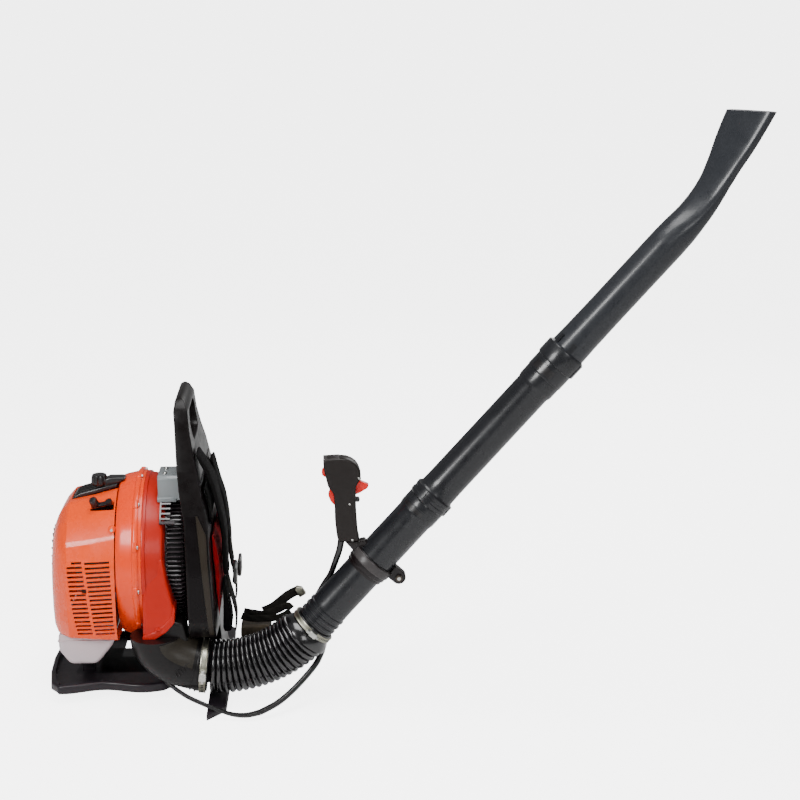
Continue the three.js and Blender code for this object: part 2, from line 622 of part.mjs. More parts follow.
// ---------------------------------------------------------------- pipes and nozzle
function makePipes() {
  const ribs = [];
  for (let i = 0; i < 3; i += 1) {
    const x = 4 + i * 12;
    ribs.push([x, 33], [x + 1, 35], [x + 4, 35], [x + 5, 33]);
  }
  const swivel = [
    [-2, 31], [-2, 33.5], ...ribs, [44, SWIVEL_PIPE_RADIUS], [252, SWIVEL_PIPE_RADIUS],
    [256, 34.5], [SWIVEL_END, 34.5], [SWIVEL_END, 31], [-2, 31],
  ];
  const slot = box(262, 270, -20, 20, 32.2, 40).rotateX(60 * RAD);
  add('swivel_pipe', cut(revolveX(swivel, PIPE_SIDES), slot), pipePlastic, pipeFrame);

  const middle = [
    [MIDDLE_START, 28.5], [MIDDLE_START, MIDDLE_PIPE_RADIUS],
    [SWIVEL_END + 0.3, MIDDLE_PIPE_RADIUS], [SWIVEL_END + 0.3, 36], [SWIVEL_END + 20, 36],
    [SWIVEL_END + 24, MIDDLE_PIPE_RADIUS + 1], [NOZZLE_START - 22, MIDDLE_PIPE_RADIUS + 1],
    [NOZZLE_START - 18, 33], [NOZZLE_START - 0.4, 33], [NOZZLE_START - 0.4, MIDDLE_PIPE_RADIUS],
    [MIDDLE_END, MIDDLE_PIPE_RADIUS], [MIDDLE_END, 28.5], [MIDDLE_START, 28.5],
  ];
  add('middle_pipe', revolveX(middle, PIPE_SIDES), pipePlastic, pipeFrame);
}

function makeNozzle() {
  const bend = NOZZLE_BEND_ANGLE * RAD;
  const roll = 55 * RAD;
  // Stations: along, half width, half thickness, squareness of the section.
  const stations = [
    [NOZZLE_START, 34, 34, 2], [NOZZLE_START + 26, 34, 34, 2], [NOZZLE_START + 28, 35.5, 35.5, 2],
    [NOZZLE_START + 56, 35.5, 35.5, 2], [NOZZLE_START + 60, 30.5, 30.5, 2], [720, 30, 30, 2],
    [872, 30, 30, 2], [899, 30, 26.5, 2.1], [927, 29.5, 20.5, 2.2], [950, 29.5, 17, 2.3],
    [972, 29.5, 14, 2.4], [995, 30, 12, 2.6], [1026, 33.5, 11, 2.8], [1057, 39, 11, 3],
    [1080, 42, 11, 3], [1115, 45, 11, 3], [1150, 47, 11, 3],
  ];
  const turned = (along) => {
    const past = Math.min(Math.max((along - NOZZLE_BEND) / NOZZLE_BEND_LENGTH, 0), 1);
    return bend * past * past * (3 - 2 * past);
  };
  let center = vec(NOZZLE_START, 0, 0);
  let last = NOZZLE_START;
  const outer = [];
  const inner = [];
  for (const [along, wide, thick, power] of stations) {
    const middle = turned((along + last) / 2);
    const step = vec(Math.cos(middle), 0, Math.sin(middle)).multiplyScalar(along - last);
    center = center.clone().add(step);
    last = along;
    const angle = turned(along);
    const up = vec(-Math.sin(angle), 0, Math.cos(angle));
    const across = up.clone().multiplyScalar(Math.cos(roll)).addScaledVector(SIDEWAYS, Math.sin(roll));
    const through = up.clone().multiplyScalar(-Math.sin(roll)).addScaledVector(SIDEWAYS, Math.cos(roll));
    outer.push(section(center, across, through, wide, thick, PIPE_SIDES, power));
    const bore = along < MIDDLE_END ? 31 : wide - PIPE_WALL;
    const boreThick = along < MIDDLE_END ? 31 : thick - PIPE_WALL;
    inner.push(section(center, across, through, bore, boreThick, PIPE_SIDES, power));
  }
  // The mouth is cut on the slant, level when the tube stands at rest.
  const mouth = pipeLocal(1014, TUBE_Y, 1006);
  const cutter = box(-300, 300, -200, 200, 0, 300).rotateY(PIPE_PITCH * RAD)
    .translate(mouth.x, 0, mouth.z);
  add('nozzle', cut(duct(outer, inner), cutter), pipePlastic, pipeFrame);
}

// Converts a point in the model's frame to the pipe group's own frame.
function pipeLocal(x, y, z) {
  const dx = x - PIPE_ORIGIN.x;
  const dz = z - PIPE_ORIGIN.z;
  const c = Math.cos(PIPE_PITCH * RAD);
  const s = Math.sin(PIPE_PITCH * RAD);
  return vec(dx * c + dz * s, y - TUBE_Y, -dx * s + dz * c);
}

// ---------------------------------------------------------------- control handle
const pipeMatrix = new THREE.Matrix4().makeRotationY(-PIPE_PITCH * RAD)
  .setPosition(PIPE_ORIGIN.x, TUBE_Y, PIPE_ORIGIN.z);

const GRIP_OUTLINE = [
  [322, 438], [361, 439], [378, 430], [386, 412], [385, 400], [377, 390], [377, 352],
  [380, 306], [384, 292], [347, 292], [344, 300], [341, 330], [341, 354], [339, 378],
  [331, 386], [328, 396], [323, 420],
];
const GRIP_HALF_THICKNESS = 15;
const POCKET_HALF_THICKNESS = 7.5; // room for the trigger, lock and switch

function makeGrip() {
  const pocket = (x0, x1, z0, z1) => box(x0, x1, TUBE_Y - POCKET_HALF_THICKNESS,
    TUBE_Y + POCKET_HALF_THICKNESS, z0, z1);
  const pockets = [
    pocket(351, 395, 362, 410), pocket(322, 352, 350, 390), pocket(310, 336, 400, 425),
  ];
  for (const [side, name] of [[-1, 'grip_right'], [1, 'grip_left']]) {
    const near = TUBE_Y + side * 0.15;
    const far = TUBE_Y + side * GRIP_HALF_THICKNESS;
    const half = prismY(outline(GRIP_OUTLINE), Math.min(near, far), Math.max(near, far));
    add(name, cut(half, ...pockets), blackPlastic);
  }

  const moving = (name, points) => {
    const thickness = POCKET_HALF_THICKNESS - 1;
    add(name, prismY(outline(points), TUBE_Y - thickness, TUBE_Y + thickness), redPlastic);
  };
  moving('trigger', [[360, 405], [360, 399], [367, 378], [372, 371], [384, 376], [397, 384],
    [399, 390], [387, 395], [368, 406]]);
  moving('trigger_lock', [[342, 353], [334, 362], [330, 373], [334, 384], [345, 384], [346, 354]]);
  moving('stop_switch', [[325, 421], [320, 416], [320, 408], [325, 404], [332, 404], [332, 421]]);
}

function makeHandleClamp() {
  const ring = revolveX(ringProfile(128, 152, 33.5, 37.5), PIPE_SIDES + 6);
  const flange = revolveX(ringProfile(122, 128.5, 33.5, 35.5), PIPE_SIDES + 6);
  const ears = box(141, 165, -9, 9, -64, -35);
  const split = box(100, 190, -1.5, 1.5, -80, -30);
  const screwHole = rod(vec(153, -20, -52), vec(153, 20, -52), 3.4, 12);
  // The arm carries the grip above the clamp ring.
  const arm = prismY(outline([[357, 291.7], [384, 291.7], [397, 281], [388, 266], [376, 270]]),
    TUBE_Y - 10, TUBE_Y + 10);
  const bore = rod(vec(100, 0, 0), vec(200, 0, 0), 33.5, PIPE_SIDES + 6).applyMatrix4(pipeMatrix);
  const clamp = join(ring, flange, ears);
  const openClamp = cut(clamp, split, screwHole).applyMatrix4(pipeMatrix);
  add('handle_clamp', cut(join(openClamp, arm), bore), blackPlastic);
  const screw = join(rod(vec(153, -13, -52), vec(153, 12, -52), 3, 12),
    rod(vec(153, -16, -52), vec(153, -9.4, -52), 6, 12));
  add('handle_clamp_screw', screw.applyMatrix4(pipeMatrix), steel);
}

// ---------------------------------------------------------------- throttle cable
const CABLE_RADIUS = 4;
const SLEEVE_RADIUS = 5.5; // ribbed sleeve over the upper part of the cable
const CONDUIT_RADIUS = 5.5;

function cord(points, radius, steps, sides = 8) {
  const curve = new THREE.CatmullRomCurve3(points.map(([x, y, z]) => vec(x, y, z)));
  const round = new THREE.Shape();
  for (let i = 0; i < sides; i += 1) {
    const angle = (2 * Math.PI * i) / sides;
    const [a, b] = [radius * Math.cos(angle), radius * Math.sin(angle)];
    if (i === 0) round.moveTo(a, b);
    else round.lineTo(a, b);
  }
  return new THREE.ExtrudeGeometry(round, { steps, extrudePath: curve, bevelEnabled: false });
}

function makeCable() {
  // Rigid conduit from the foot of the grip to the far side of the pipe.
  const conduit = [[351.5, -135, 290.4], [348, -132, 272], [341, -124, 248], [333, -111, 222],
    [321, -102, 200], [306, -97, 172]];
  add('cable_conduit', cord(conduit, CONDUIT_RADIUS, 16), blackPlastic);

  const upper = [[305.2, -96.2, 169.9], [303, -92, 158], [305, -89, 142], [311, -89.5, 126],
    [318, -95, 111], [321, -105, 97], [317, -119, 84]];
  const middle = [[316.2, -120.2, 83.2], [307, -137, 70], [289, -158, 55], [265, -180, 38],
    [240, -197, 24], [212, -208, 13]];
  const lower = [[210.8, -208.3, 12.7], [188, -212, 10], [164, -209, 11], [138, -201, 17],
    [113, -186, 21], [86, -165, 25], [62, -141, 31], [44, -120, 37], [31, -100, 44],
    [25, -82, 54], [26, -69, 66], [29, -63, 76], [29.5, -62.3, 83]];
  add('throttle_cable_upper', cord(upper, SLEEVE_RADIUS, 8), rubber);
  add('throttle_cable_middle', cord(middle, SLEEVE_RADIUS, 10), rubber);
  add('throttle_cable_lower', cord(lower, CABLE_RADIUS, 22), rubber);
  const gland = join(rod(vec(30, -62, 84), vec(30, -62, 92), 7, 12),
    rod(vec(30, -62, 91), vec(30, -62, 97), 9, 6));
  add('cable_gland', gland, blackPlastic);
}

// ---------------------------------------------------------------- harness
// A flat band of constant width that follows a path drawn in X and Z.
function strap(path, y, halfWidth, thickness) {
  const curve = new THREE.CatmullRomCurve3(path.map(([x, z]) => vec(x, 0, z)));
  const steps = path.length * 2;
  const front = [];
  const back = [];
  for (let i = 0; i <= steps; i += 1) {
    const point = curve.getPoint(i / steps);
    const tangent = curve.getTangent(i / steps);
    const half = (thickness(i / steps)) / 2;
    front.push([point.x + tangent.z * half, point.z - tangent.x * half]);
    back.push([point.x - tangent.z * half, point.z + tangent.x * half]);
  }
  return prismY(outline([...front, ...back.reverse()]), y - halfWidth, y + halfWidth);
}

function makeHarness() {
  const onFrame = (z) => [frameFront(z) + GAP, z];
  const backPad = [onFrame(312), [136, 312], [129, 346], [119, 380], onFrame(395), onFrame(367),
    onFrame(339), onFrame(316)];
  add('back_pad', prismY(outline(backPad), -112, 112), blackFabric);
  const lumbar = [onFrame(136), [139, 128], [143, 150], [145, 192], [145, 254], [139, 288],
    [130, 303], onFrame(290), onFrame(263), onFrame(201), onFrame(151)];
  add('lumbar_pad', prismY(outline(lumbar), -104, 104), redFabric);

  // The padded spine between the two straps.
  const spine = [[122, 384], [130, 377], [141, 346], [148, 312], [152, 280], [153, 250], [153, 226],
    [149, 221], [145.5, 226], [145.5, 254], [139.6, 289], [136.5, 312], [129.5, 346]];
  add('spine_pad', prismY(outline(spine), -37, 37), blackFabric);

  // Shoulder straps: padded as far as the buckle, plain webbing from there on.
  const webbing = 3.5;
  const straps = [
    { name: 'right', y: -78, padding: 10, webbingFrom: 0.52, buckle: 203,
      path: [[110, 437], [128, 400], [143, 346], [151, 298], [153, 236], [157, 200], [164, 170],
        [169, 142], [168, 118]] },
    { name: 'left', y: 78, padding: 6, webbingFrom: 0.66, buckle: 160,
      path: [[124, 384], [127.5, 372], [133, 346], [141, 318], [147, 290], [150.5, 250], [151.5, 220],
        [153, 200], [157, 170], [161, 142], [161, 118]] },
  ];
  for (const { name, y, padding, webbingFrom, buckle, path } of straps) {
    const thick = (t) => (t < webbingFrom ? Math.min(padding, 5 + 40 * t) : webbing);
    add(`${name}_shoulder_strap`, strap(path, y, 28, thick), blackFabric);
    const body = box(162, 175, y - 22, y + 22, buckle, buckle + 28);
    const slot = box(150, 190, y - 16, y + 16, buckle + 11, buckle + 17);
    add(`${name}_strap_buckle`, cut(body, slot), blackPlastic);
  }

  // The waist belt: folded against the lumbar pad, then hanging forward in loose layers.
  const fold = [[144.5, 118], [145.5, 150], [146.3, 195], [149, 216], [153, 203], [160, 170],
    [164.5, 140], [164, 116], [150, 112]];
  add('waist_belt_fold', prismY(outline(fold), -104, -44), blackFabric);
  const layers = [[172.5, 125], [178, 116], [203, 111.5], [234, 114], [258, 120], [269, 132],
    [264, 140], [279, 157], [291, 165], [283, 177], [273, 179], [254, 171], [235, 156],
    [219, 140], [204, 138], [190, 143], [178, 138]];
  add('waist_strap', prismY(outline(layers), -56, -44), blackFabric);
  const hipPad = [[172.5, 109], [203, 110.5], [228, 112], [232, 102], [221, 90], [208, 82],
    [189, 78], [172.5, 84]];
  add('hip_pad', prismY(outline(hipPad), -66, -14), brownFabric);
}

makeBase();
makeFrame();
makeFanCase();
makeEngineCover();
makeAirCleaner();
makeEngine();
makeStarter();
makeFuelTank();
makeChoke();
makeElbow();
makeHose();
makePipes();
makeNozzle();
makeGrip();
makeHandleClamp();
makeCable();
makeHarness();

export default model;
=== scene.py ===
"""Backpack leaf blower: the looks of each part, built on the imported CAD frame.

Lengths are in millimetres in this file, in the model's own frame, and become metres
when a mesh is made. +X is the way the operator faces, -Y the operator's right, +Z up.
"""
from math import cos, pi, radians, sin, sqrt

import bmesh
import bpy
from mathutils import Matrix, Vector


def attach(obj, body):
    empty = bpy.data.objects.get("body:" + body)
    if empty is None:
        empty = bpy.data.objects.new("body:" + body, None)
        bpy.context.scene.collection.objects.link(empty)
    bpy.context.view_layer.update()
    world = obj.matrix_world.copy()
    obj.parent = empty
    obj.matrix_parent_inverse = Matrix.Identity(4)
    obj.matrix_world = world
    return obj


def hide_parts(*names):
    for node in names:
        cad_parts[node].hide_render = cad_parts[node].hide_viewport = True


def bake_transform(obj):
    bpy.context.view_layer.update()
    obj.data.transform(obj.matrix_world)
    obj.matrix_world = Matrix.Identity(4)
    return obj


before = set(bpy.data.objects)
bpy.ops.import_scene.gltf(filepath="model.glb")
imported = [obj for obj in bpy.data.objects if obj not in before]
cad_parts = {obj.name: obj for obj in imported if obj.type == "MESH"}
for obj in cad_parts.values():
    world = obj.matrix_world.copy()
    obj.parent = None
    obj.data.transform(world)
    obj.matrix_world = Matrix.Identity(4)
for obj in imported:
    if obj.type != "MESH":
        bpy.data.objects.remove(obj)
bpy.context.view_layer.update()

MM = 0.001
UP = Vector((0, 0, 1))
SIDE = Vector((0, 1, 0))

FLOOR_GLOW = 4.5

# Driving dimensions, as in the CAD.
TUBE_Y = -135
FAN_Z = 229
PIPE_PITCH = radians(48.07)
PIPE_ORIGIN = Vector((308, TUBE_Y, 146))
ALONG = Vector((cos(PIPE_PITCH), 0, sin(PIPE_PITCH)))
ACROSS = Vector((-sin(PIPE_PITCH), 0, cos(PIPE_PITCH)))
PIPE = Matrix((ALONG, SIDE, ACROSS)).transposed().to_4x4()
PIPE.translation = PIPE_ORIGIN
FAN = Matrix.Translation((0, 0, FAN_Z))


# ------------------------------------------------------------ mesh helpers
def srgb(red, green, blue):
    """Linear colour from the 0-255 values a screen shows."""
    def linear(value):
        value /= 255
        return value / 12.92 if value <= 0.04045 else ((value + 0.055) / 1.055) ** 2.4
    return (linear(red), linear(green), linear(blue), 1)


class Shape:
    """Vertices and faces in millimetres; shapes add up with +."""

    def __init__(self, points=(), faces=()):
        self.points = [Vector(p) for p in points]
        self.faces = [tuple(f) for f in faces]

    def __add__(self, other):
        first = len(self.points)
        moved = [tuple(i + first for i in face) for face in other.faces]
        return Shape(self.points + other.points, self.faces + moved)

    def placed(self, matrix):
        return Shape([matrix @ p for p in self.points], self.faces)

    def bevelled(self, width, segments=2, angle=30):
        """The same shape with its edges sharper than angle rounded off."""
        mesh = bmesh.new()
        verts = [mesh.verts.new(p) for p in self.points]
        for face in self.faces:
            mesh.faces.new([verts[i] for i in face])
        bmesh.ops.remove_doubles(mesh, verts=mesh.verts, dist=0.01)
        bmesh.ops.recalc_face_normals(mesh, faces=mesh.faces)
        sharp = [e for e in mesh.edges if e.calc_face_angle(0) > radians(angle)]
        bmesh.ops.bevel(mesh, geom=sharp, offset=width, segments=segments, profile=0.5,
                        affect="EDGES", clamp_overlap=True)
        mesh.verts.index_update()
        shape = Shape([v.co.copy() for v in mesh.verts],
                      [[v.index for v in f.verts] for f in mesh.faces])
        mesh.free()
        return shape


def piece(name, shape, material, body, replaces=(), smooth=32):
    """A Blender object made from a shape, riding on a CAD body."""
    mesh = bpy.data.meshes.new(name)
    mesh.from_pydata([p * MM for p in shape.points], [], shape.faces)
    tidy = bmesh.new()
    tidy.from_mesh(mesh)
    bmesh.ops.remove_doubles(tidy, verts=tidy.verts, dist=1e-6)
    bmesh.ops.recalc_face_normals(tidy, faces=tidy.faces)
    tidy.to_mesh(mesh)
    tidy.free()
    mesh.materials.append(material)
    mesh.shade_smooth()
    mesh.set_sharp_from_angle(angle=radians(smooth))
    for face in mesh.polygons:
        if len(face.vertices) > 8:
            face.use_smooth = False
    obj = bpy.data.objects.new(name, mesh)
    bpy.context.collection.objects.link(obj)
    if replaces:
        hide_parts(*replaces)
    if body:
        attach(obj, body)
    return obj


def loft(loops, closed=False, caps=True):
    """Quads through equal loops of points."""
    count = len(loops[0])
    points = [p for loop in loops for p in loop]
    faces = []
    for i in range(len(loops) if closed else len(loops) - 1):
        here, there = i * count, (i + 1) % len(loops) * count
        for j in range(count):
            k = (j + 1) % count
            faces.append((here + j, here + k, there + k, there + j))
    if caps and not closed:
        last = (len(loops) - 1) * count
        faces.append(tuple(reversed(range(count))))
        faces.append(tuple(range(last, last + count)))
    return Shape(points, faces)


def circle(center, u, v, radius, sides, radius_v=None, power=2.0):
    """A loop of points: a circle, an ellipse, or squarer at a higher power."""
    radius_v = radius if radius_v is None else radius_v
    loop = []
    for i in range(sides):
        c, s = cos(2 * pi * i / sides), sin(2 * pi * i / sides)
        a = radius * abs(c) ** (2 / power) * (1 if c >= 0 else -1)
        b = radius_v * abs(s) ** (2 / power) * (1 if s >= 0 else -1)
        loop.append(center + u * a + v * b)
    return loop


def lathe(profile, matrix=Matrix(), sides=72, closed=False):
    """Revolves (along, radius) points about the local X axis."""
    loops = [circle(Vector((x, 0, 0)), SIDE, UP, max(r, 0.01), sides) for x, r in profile]
    return loft(loops, closed).placed(matrix)


def prism(points, near, far, axis="y"):
    """A flat outline given thickness: drawn in XZ for axis y, YZ for x, XY for z."""
    place = {"y": lambda a, b, t: (a, t, b), "x": lambda a, b, t: (t, a, b),
             "z": lambda a, b, t: (a, b, t)}[axis]
    loops = [[Vector(place(a, b, t)) for a, b in points] for t in (near, far)]
    return loft(loops)


def block(x0, x1, y0, y1, z0, z1):
    return prism([(x0, z0), (x1, z0), (x1, z1), (x0, z1)], y0, y1)


def rod(start, end, radius, sides=24, end_radius=None):
    """A cylinder or cone between two points."""
    start, end = Vector(start), Vector(end)
    axis = (end - start).normalized()
    u = axis.orthogonal().normalized()
    v = axis.cross(u)
    end_radius = radius if end_radius is None else end_radius
    return loft([circle(start, u, v, radius, sides), circle(end, u, v, end_radius, sides)])


def spline(points, per_span):
    """Points along a smooth Catmull-Rom curve through the given points."""
    points = [Vector(p) for p in points]
    ends = [2 * points[0] - points[1]] + points + [2 * points[-1] - points[-2]]
    smooth = []
    for i in range(1, len(ends) - 2):
        p0, p1, p2, p3 = ends[i - 1:i + 3]
        for j in range(per_span):
            t = j / per_span
            smooth.append(0.5 * (2 * p1 + (p2 - p0) * t + (2 * p0 - 5 * p1 + 4 * p2 - p3) * t * t
                                 + (3 * p1 - p0 - 3 * p2 + p3) * t ** 3))
    return smooth + [points[-1]]


def sweep(path, radius, sides=16):
    """A tube along a path; radius is a number or a function of the path's index."""
    size = radius if callable(radius) else (lambda i: radius)
    loops = []
    u = (path[1] - path[0]).orthogonal().normalized()
    for i, point in enumerate(path):
        tangent = (path[min(i + 1, len(path) - 1)] - path[max(i - 1, 0)]).normalized()
        u = (u - tangent * u.dot(tangent)).normalized()
        loops.append(circle(point, u, tangent.cross(u), size(i), sides))
    return loft(loops)


def evenly(path, pitch):
    """The same path in steps of one length."""
    out = [path[0]]
    carried = 0.0
    for a, b in zip(path, path[1:]):
        span = (b - a).length
        while span > 0 and carried + span >= pitch:
            a = a + (b - a) * ((pitch - carried) / span)
            out.append(a)
            span = (b - a).length
            carried = 0.0
        carried += span
    return out + [path[-1]]


def saddle(x0, x1, angle, half_angle, inner, outer, matrix=PIPE, steps=10):
    """A curved block on a pipe: from x0 to x1 along it, centred on an angle round it."""
    loops = []
    for i in range(steps + 1):
        turn = radians(angle + half_angle * (2 * i / steps - 1))
        outward = Vector((0, cos(turn), sin(turn)))
        loops.append([Vector((x, 0, 0)) + outward * r
                      for x, r in ((x0, inner), (x1, inner), (x1, outer), (x0, outer))])
    return loft(loops).placed(matrix)


# ------------------------------------------------------------ materials
def nodes_of(material):
    material.use_nodes = True
    tree = material.node_tree
    return tree, tree.nodes["Principled BSDF"]


def noise(tree, scale, detail=4.0, roughness=0.55, vector=None):
    node = tree.nodes.new("ShaderNodeTexNoise")
    node.inputs["Scale"].default_value = scale
    node.inputs["Detail"].default_value = detail
    node.inputs["Roughness"].default_value = roughness
    coords = tree.nodes.new("ShaderNodeTexCoord")
    tree.links.new(vector or coords.outputs["Object"], node.inputs["Vector"])
    return node.outputs["Fac"]


def ramp(tree, factor, stops):
    node = tree.nodes.new("ShaderNodeValToRGB")
    elements = node.color_ramp.elements
    while len(elements) < len(stops):
        elements.new(0.5)
    for element, (position, colour) in zip(elements, stops):
        element.position = position
        element.color = colour
    tree.links.new(factor, node.inputs["Fac"])
    return node.outputs["Color"]


def grey(value):
    return (value, value, value, 1)


def shade(colour, factor):
    return tuple(min(c * factor, 1) for c in colour[:3]) + (1,)


def bump(tree, height, strength, distance, normal=None):
    node = tree.nodes.new("ShaderNodeBump")
    node.inputs["Strength"].default_value = strength
    node.inputs["Distance"].default_value = distance
    tree.links.new(height, node.inputs["Height"])
    if normal:
        tree.links.new(normal, node.inputs["Normal"])
    return node.outputs["Normal"]


def moulded(name, colour, roughness, mottle=0.12, grain=0.12, coat=0.0, specular=0.5, wear=0.0):
    """Moulded plastic: uneven gloss, slight colour drift, a fine grain and handling marks."""
    material = bpy.data.materials.new(name)
    tree, shader = nodes_of(material)
    drift = noise(tree, 14, 5)
    low, high = shade(colour, 1 - mottle), shade(colour, 1 + mottle)
    tree.links.new(ramp(tree, drift, [(0.3, low), (0.7, high)]), shader.inputs["Base Color"])
    smears = noise(tree, 45, 6, 0.7)
    glossy, dull = max(roughness - 0.06, 0.05), roughness + 0.1 + wear
    rough = ramp(tree, smears, [(0.3, grey(glossy)), (0.7, grey(dull))])
    tree.links.new(rough, shader.inputs["Roughness"])
    texture = bump(tree, noise(tree, 1600, 2), grain, 0.0004)
    ripple = bump(tree, noise(tree, 22, 2), 0.08, 0.004, texture)
    tree.links.new(ripple, shader.inputs["Normal"])
    shader.inputs["Coat Weight"].default_value = coat
    shader.inputs["Coat Roughness"].default_value = 0.12
    shader.inputs["Specular IOR Level"].default_value = specular
    return material


def metal(name, colour, roughness, scale=300):
    """Bare metal with fine streaks."""
    material = bpy.data.materials.new(name)
    tree, shader = nodes_of(material)
    streaks = noise(tree, scale, 6, 0.7)
    tree.links.new(ramp(tree, streaks, [(0.3, shade(colour, 0.75)), (0.7, colour)]),
                   shader.inputs["Base Color"])
    tree.links.new(ramp(tree, streaks, [(0.3, grey(roughness)), (0.7, grey(roughness + 0.18))]),
                   shader.inputs["Roughness"])
    tree.links.new(bump(tree, streaks, 0.15, 0.0004), shader.inputs["Normal"])
    shader.inputs["Metallic"].default_value = 1.0
    return material


def woven(name, colour, pitch, sheen=0.3, depth=0.5):
    """Woven cloth or webbing: threads both ways at a real pitch, in millimetres."""
    material = bpy.data.materials.new(name)
    tree, shader = nodes_of(material)
    threads = []
    for axis in ("Y", "Z"):
        wave = tree.nodes.new("ShaderNodeTexWave")
        wave.wave_type = "BANDS"
        wave.bands_direction = axis
        wave.inputs["Scale"].default_value = 1 / (pitch * MM) / 3.18
        wave.inputs["Distortion"].default_value = 0.6
        wave.inputs["Detail"].default_value = 1.0
        coords = tree.nodes.new("ShaderNodeTexCoord")
        tree.links.new(coords.outputs["Object"], wave.inputs["Vector"])
        threads.append(wave.outputs["Fac"])
    both = tree.nodes.new("ShaderNodeMath")
    both.operation = "MULTIPLY"
    tree.links.new(threads[0], both.inputs[0])
    tree.links.new(threads[1], both.inputs[1])
    fluff = noise(tree, 60, 6, 0.7)
    colours = ramp(tree, fluff, [(0.25, shade(colour, 0.6)), (0.75, shade(colour, 1.5))])
    tree.links.new(colours, shader.inputs["Base Color"])
    weave = bump(tree, both.outputs["Value"], depth, 0.0006)
    folds = bump(tree, noise(tree, 35, 3), 0.35, 0.006, weave)
    tree.links.new(folds, shader.inputs["Normal"])
    shader.inputs["Roughness"].default_value = 0.9
    shader.inputs["Sheen Weight"].default_value = sheen
    shader.inputs["Specular IOR Level"].default_value = 0.15
    shader.inputs["Sheen Roughness"].default_value = 0.5
    return material


ORANGE = moulded("cover_orange", srgb(240, 72, 0), 0.24, 0.04, 0.02, coat=0.25, specular=0.3)
BAND_ORANGE = moulded("band_orange", srgb(238, 62, 0), 0.28, 0.04, 0.04, coat=0.25, specular=0.3)
DARK_ORANGE = moulded("drum_orange", srgb(176, 22, 0), 0.36, 0.05, 0.06, coat=0.1, specular=0.25)
BLACK = moulded("black_plastic", srgb(20, 18, 19), 0.3, 0.2, 0.12, coat=0.25)
GUARD_BLACK = moulded("guard_black", srgb(46, 38, 42), 0.2, 0.2, 0.06, coat=0.6)
FRAME_BLACK = moulded("frame_gloss", srgb(11, 7, 7), 0.3, 0.1, 0.0, coat=0.05, specular=0.16)
FRAME_DARK = moulded("frame_side", srgb(9, 5, 6), 0.3, 0.15, 0.0, specular=0.14)
FRAME_BROWN = moulded("frame_lower", srgb(40, 34, 27), 0.34, 0.12, 0.0, coat=0.05, specular=0.2)
ELBOW_BLACK = moulded("elbow_black", srgb(12, 9, 9), 0.34, 0.2, 0.05, coat=0.05, specular=0.25)
ELBOW_BROWN = moulded("elbow_brown", srgb(38, 34, 28), 0.4, 0.15, 0.05, coat=0.05, specular=0.25)
TRAY = moulded("tray_plastic", srgb(30, 25, 30), 0.34, 0.15, 0.08, coat=0.1, specular=0.3)
PIPE_GREY = moulded("pipe_plastic", srgb(25, 26, 29), 0.28, 0.05, 0.0, coat=0.2, specular=0.35)
NOZZLE_GREY = moulded("nozzle_plastic", srgb(36, 38, 42), 0.3, 0.05, 0.0, coat=0.2, specular=0.35)
GRIP_BLACK = moulded("grip_plastic", srgb(24, 18, 16), 0.36, 0.1, 0.1, coat=0.05, specular=0.25)
GRIP_GREY = moulded("grip_grey", srgb(58, 55, 55), 0.34, 0.1, 0.1, coat=0.1, specular=0.3)
CLAMP_BLACK = moulded("clamp_black", srgb(20, 14, 15), 0.3, 0.1, 0.06, coat=0.1, specular=0.3)
RED = moulded("red_plastic", srgb(220, 16, 0), 0.28, 0.05, 0.03, coat=0.2, specular=0.3)
TANK = moulded("tank_plastic", srgb(196, 182, 186), 0.34, 0.05, 0.1, coat=0.2)
RUBBER = moulded("hose_rubber", srgb(13, 12, 14), 0.2, 0.15, 0.06, coat=0.6)
CABLE = moulded("cable_rubber", srgb(14, 13, 14), 0.34, 0.2, 0.1, coat=0.2)
STEEL = metal("zinc_steel", srgb(176, 174, 158), 0.28)
BRIGHT = metal("bright_steel", srgb(205, 205, 200), 0.22)
DULL_STEEL = metal("heat_shield", srgb(96, 88, 80), 0.45)
ALUMINIUM = metal("cast_aluminium", srgb(150, 148, 144), 0.42, 120)
BRACKET = moulded("bracket_grey", srgb(118, 124, 126), 0.3, 0.1, 0.08, coat=0.35)
BLACK_CLOTH = woven("black_cloth", srgb(7, 5, 6), 1.2, 0.0)
WEBBING = woven("black_webbing", srgb(22, 20, 17), 1.8, 0.0, 0.8)
RED_CLOTH = woven("red_cloth", srgb(138, 0, 12), 1.0, 0.05)
BROWN_CLOTH = woven("brown_cloth", srgb(50, 43, 33), 1.4, 0.1)
FOAM = woven("filter_foam", srgb(60, 57, 52), 0.8)


# ------------------------------------------------------------ camera, floor and light
def make_camera():
    data = bpy.data.cameras.new("camera")
    data.lens = 72
    camera = bpy.data.objects.new("camera", data)
    bpy.context.collection.objects.link(camera)
    camera.location = (0.3164, -2.7071, 1.1765)
    aim = Vector((0.4520, -0.12, 0.5305)) - camera.location
    camera.rotation_euler = aim.to_track_quat("-Z", "Y").to_euler()
    bpy.context.scene.camera = camera


def area_light(name, place, target, size, power, colour=(1, 1, 1)):
    data = bpy.data.lights.new(name, "AREA")
    data.size = size
    data.energy = power
    data.color = colour
    lamp = bpy.data.objects.new(name, data)
    bpy.context.collection.objects.link(lamp)
    lamp.location = place
    lamp.rotation_euler = (Vector(target) - lamp.location).to_track_quat("-Z", "Y").to_euler()


